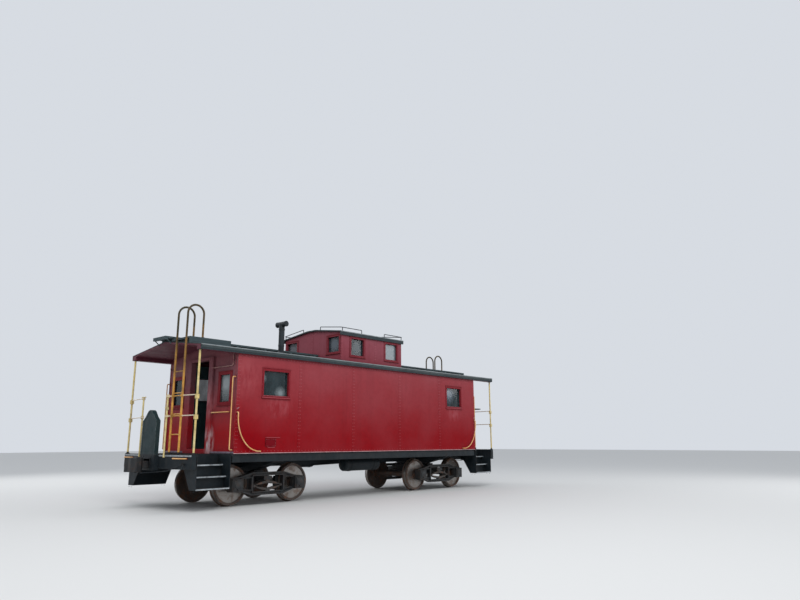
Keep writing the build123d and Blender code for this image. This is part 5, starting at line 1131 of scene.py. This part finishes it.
# Trucks: journal lids, bolts, spring clasps, wear plates and brake hangers, each set riding its own truck
truck = {"frameY": 1.020, "middleY": 0.965, "boxY": 1.095, "lidY": 1.110, "axleX": 0.838, "axleZ": 0.444,
         "springZ": 0.4105, "springRise": 0.0995, "beamX": 0.319, "hingeZ": 0.562,
         "lidZ": 0.446}
lidY, middleY, frameY, beamX = truck["lidY"], truck["middleY"], truck["frameY"], truck["beamX"]
castings, details = [], []
for along in (-1, 1):
    x = along * truck["axleX"]
    castings += [
        latheShape([(0.082, -0.002), (0.082, 0.007), (0.060, 0.013), (0.0, 0.017)],
                   (x, lidY, truck["lidZ"]), alongY, 24),
        centredBox((x, lidY - 0.006, 0.556), (0.120, 0.022, 0.026)),
        tubeShape([(x + end, lidY + 0.004, truck["hingeZ"]) for end in (-0.072, 0.072)], 0.009, 8),
        centredBox((x, lidY + 0.008, 0.362), (0.030, 0.020, 0.030)),
        centredBox((along * 0.424, frameY + 0.004, 0.457), (0.040, 0.010, 0.300))]
    places = [(x + dx, truck["boxY"], truck["axleZ"] + dz)
              for dx in (-0.115, 0.115) for dz in (-0.112, 0.112)]
    castings += domes(places, alongY, "journalBolt")
    details.append(bentRod([(along * 0.112, 0.600, 0.560), (along * 0.230, 0.620, 0.560),
                            (along * beamX, 0.660, 0.480)], 0.05, 0.012, 8))
    details.append(centredBox((along * beamX, 0.012, 0.515), (0.028, 0.024, 0.130)))
places = [(x, frameY, z) for x in spread(-0.36, 0.36, 0.09) for z in (0.665, 0.250)]
castings += domes(places, alongY, "truckRivet")
for sign in (-1, 1):
    z = truck["springZ"] + sign * (truck["springRise"] - 0.022)
    details.append(centredBox((0, middleY, z), (0.080, 0.104, 0.056)))
    details += domes([(sign * 0.360, middleY + 0.045, truck["springZ"])], alongY, "springPin", 10)
for endName, sign in ends:
    shift = sign * car["truckCentre"]
    for name, shapes, finish in (("castings", castings, "casting"), ("details", details, "springs")):
        moved = [([(x + shift, y, z) for x, y, z in points], faces)
                 for points, faces in bothSides(shapes)]
        makePiece(f"truck_{endName}_{name}", moved, finish, f"truck_{endName}", bevel=0.002)

# Rolled treads on the wheels, each pair riding its own axle
wheel = {"inside": 0.676, "outside": 0.816, "tread": 0.419}
inside, outside, tread = wheel["inside"] + 0.048, wheel["outside"] - 0.022, wheel["tread"]
profile = [(tread - 0.004, inside), (tread + 0.0012, inside), (tread - 0.0008, outside),
           (tread - 0.008, outside)]
for endName, sign in ends:
    for number, along in ((1, -1), (2, 1)):
        middle = (sign * car["truckCentre"] + along * truck["axleX"], 0, truck["axleZ"])
        bands = [latheShape(profile, middle, (0, side, 0), 72) for side in (-1, 1)]
        rider = f"axle_{endName}{number}"
        makePiece(f"wheel_treads_{endName}{number}", bands, "tread", rider, smoothTo=50)
print("trucks and wheels dressed")

# Floor, light and camera
stage = {"halfSize": 90.0, "floor": (0.62, 0.62, 0.61), "roughness": 0.9, "sky": (0.80, 0.84, 0.90),
         "skyStrength": 0.85}
floorMesh = bpy.data.meshes.new("studio_floor")
half = stage["halfSize"]
corners = [(-half, -half, 0), (half, -half, 0), (half, half, 0), (-half, half, 0)]
floorMesh.from_pydata(corners, [], [(0, 1, 2, 3)])
floorPaint = bpy.data.materials.new("studioFloor")
floorPaint.use_nodes = True
floorShader = floorPaint.node_tree.nodes["Principled BSDF"]
floorShader.inputs["Base Color"].default_value = rgba(stage["floor"])
floorShader.inputs["Roughness"].default_value = stage["roughness"]
floorMesh.materials.append(floorPaint)
studioFloor = bpy.data.objects.new("studio_floor", floorMesh)
bpy.context.scene.collection.objects.link(studioFloor)

world = bpy.context.scene.world or bpy.data.worlds.new("studioWorld")
bpy.context.scene.world = world
world.use_nodes = True
world.node_tree.nodes["Background"].inputs["Color"].default_value = rgba(stage["sky"])
world.node_tree.nodes["Background"].inputs["Strength"].default_value = stage["skyStrength"]

lamps = {
    "keyLight": {"place": (-9.0, -12.0, 14.0), "aim": (0, 0, 1.5), "size": 9.0, "power": 1500.0},
    "fillLight": {"place": (12.0, -12.0, 8.0), "aim": (1, 0, 1.5), "size": 9.0, "power": 500.0},
    "backLight": {"place": (-4.0, 14.0, 10.0), "aim": (0, 0, 2), "size": 10.0, "power": 700.0},
}
for lampName, lamp in lamps.items():
    data = bpy.data.lights.new(lampName, "AREA")
    data.size = lamp["size"]
    data.energy = lamp["power"]
    light = bpy.data.objects.new(lampName, data)
    light.location = lamp["place"]
    light.rotation_euler = (Vector(lamp["aim"]) - Vector(lamp["place"])).to_track_quat("-Z", "Y").to_euler()
    bpy.context.scene.collection.objects.link(light)

# heading is from +Y towards +X, tilt is above level, both in degrees
view = {"place": (-12.026, -13.162, 1.346), "heading": 47.756, "tilt": 12.525, "roll": -0.17, "lens": 28.746}
cameraData = bpy.data.cameras.new("photoCamera")
cameraData.sensor_width = 36.0
cameraData.sensor_fit = "HORIZONTAL"
cameraData.lens = view["lens"]
cameraData.clip_end = 400.0
camera = bpy.data.objects.new("photoCamera", cameraData)
camera.matrix_world = (
    Matrix.Translation(view["place"])
    @ Matrix.Rotation(math.radians(-view["heading"]), 4, "Z")
    @ Matrix.Rotation(math.radians(90 + view["tilt"]), 4, "X")
    @ Matrix.Rotation(math.radians(view["roll"]), 4, "Z")
)
bpy.context.scene.collection.objects.link(camera)
bpy.context.scene.camera = camera
bpy.context.scene.view_settings.view_transform = "Standard"
print("stage, lamps and camera set")
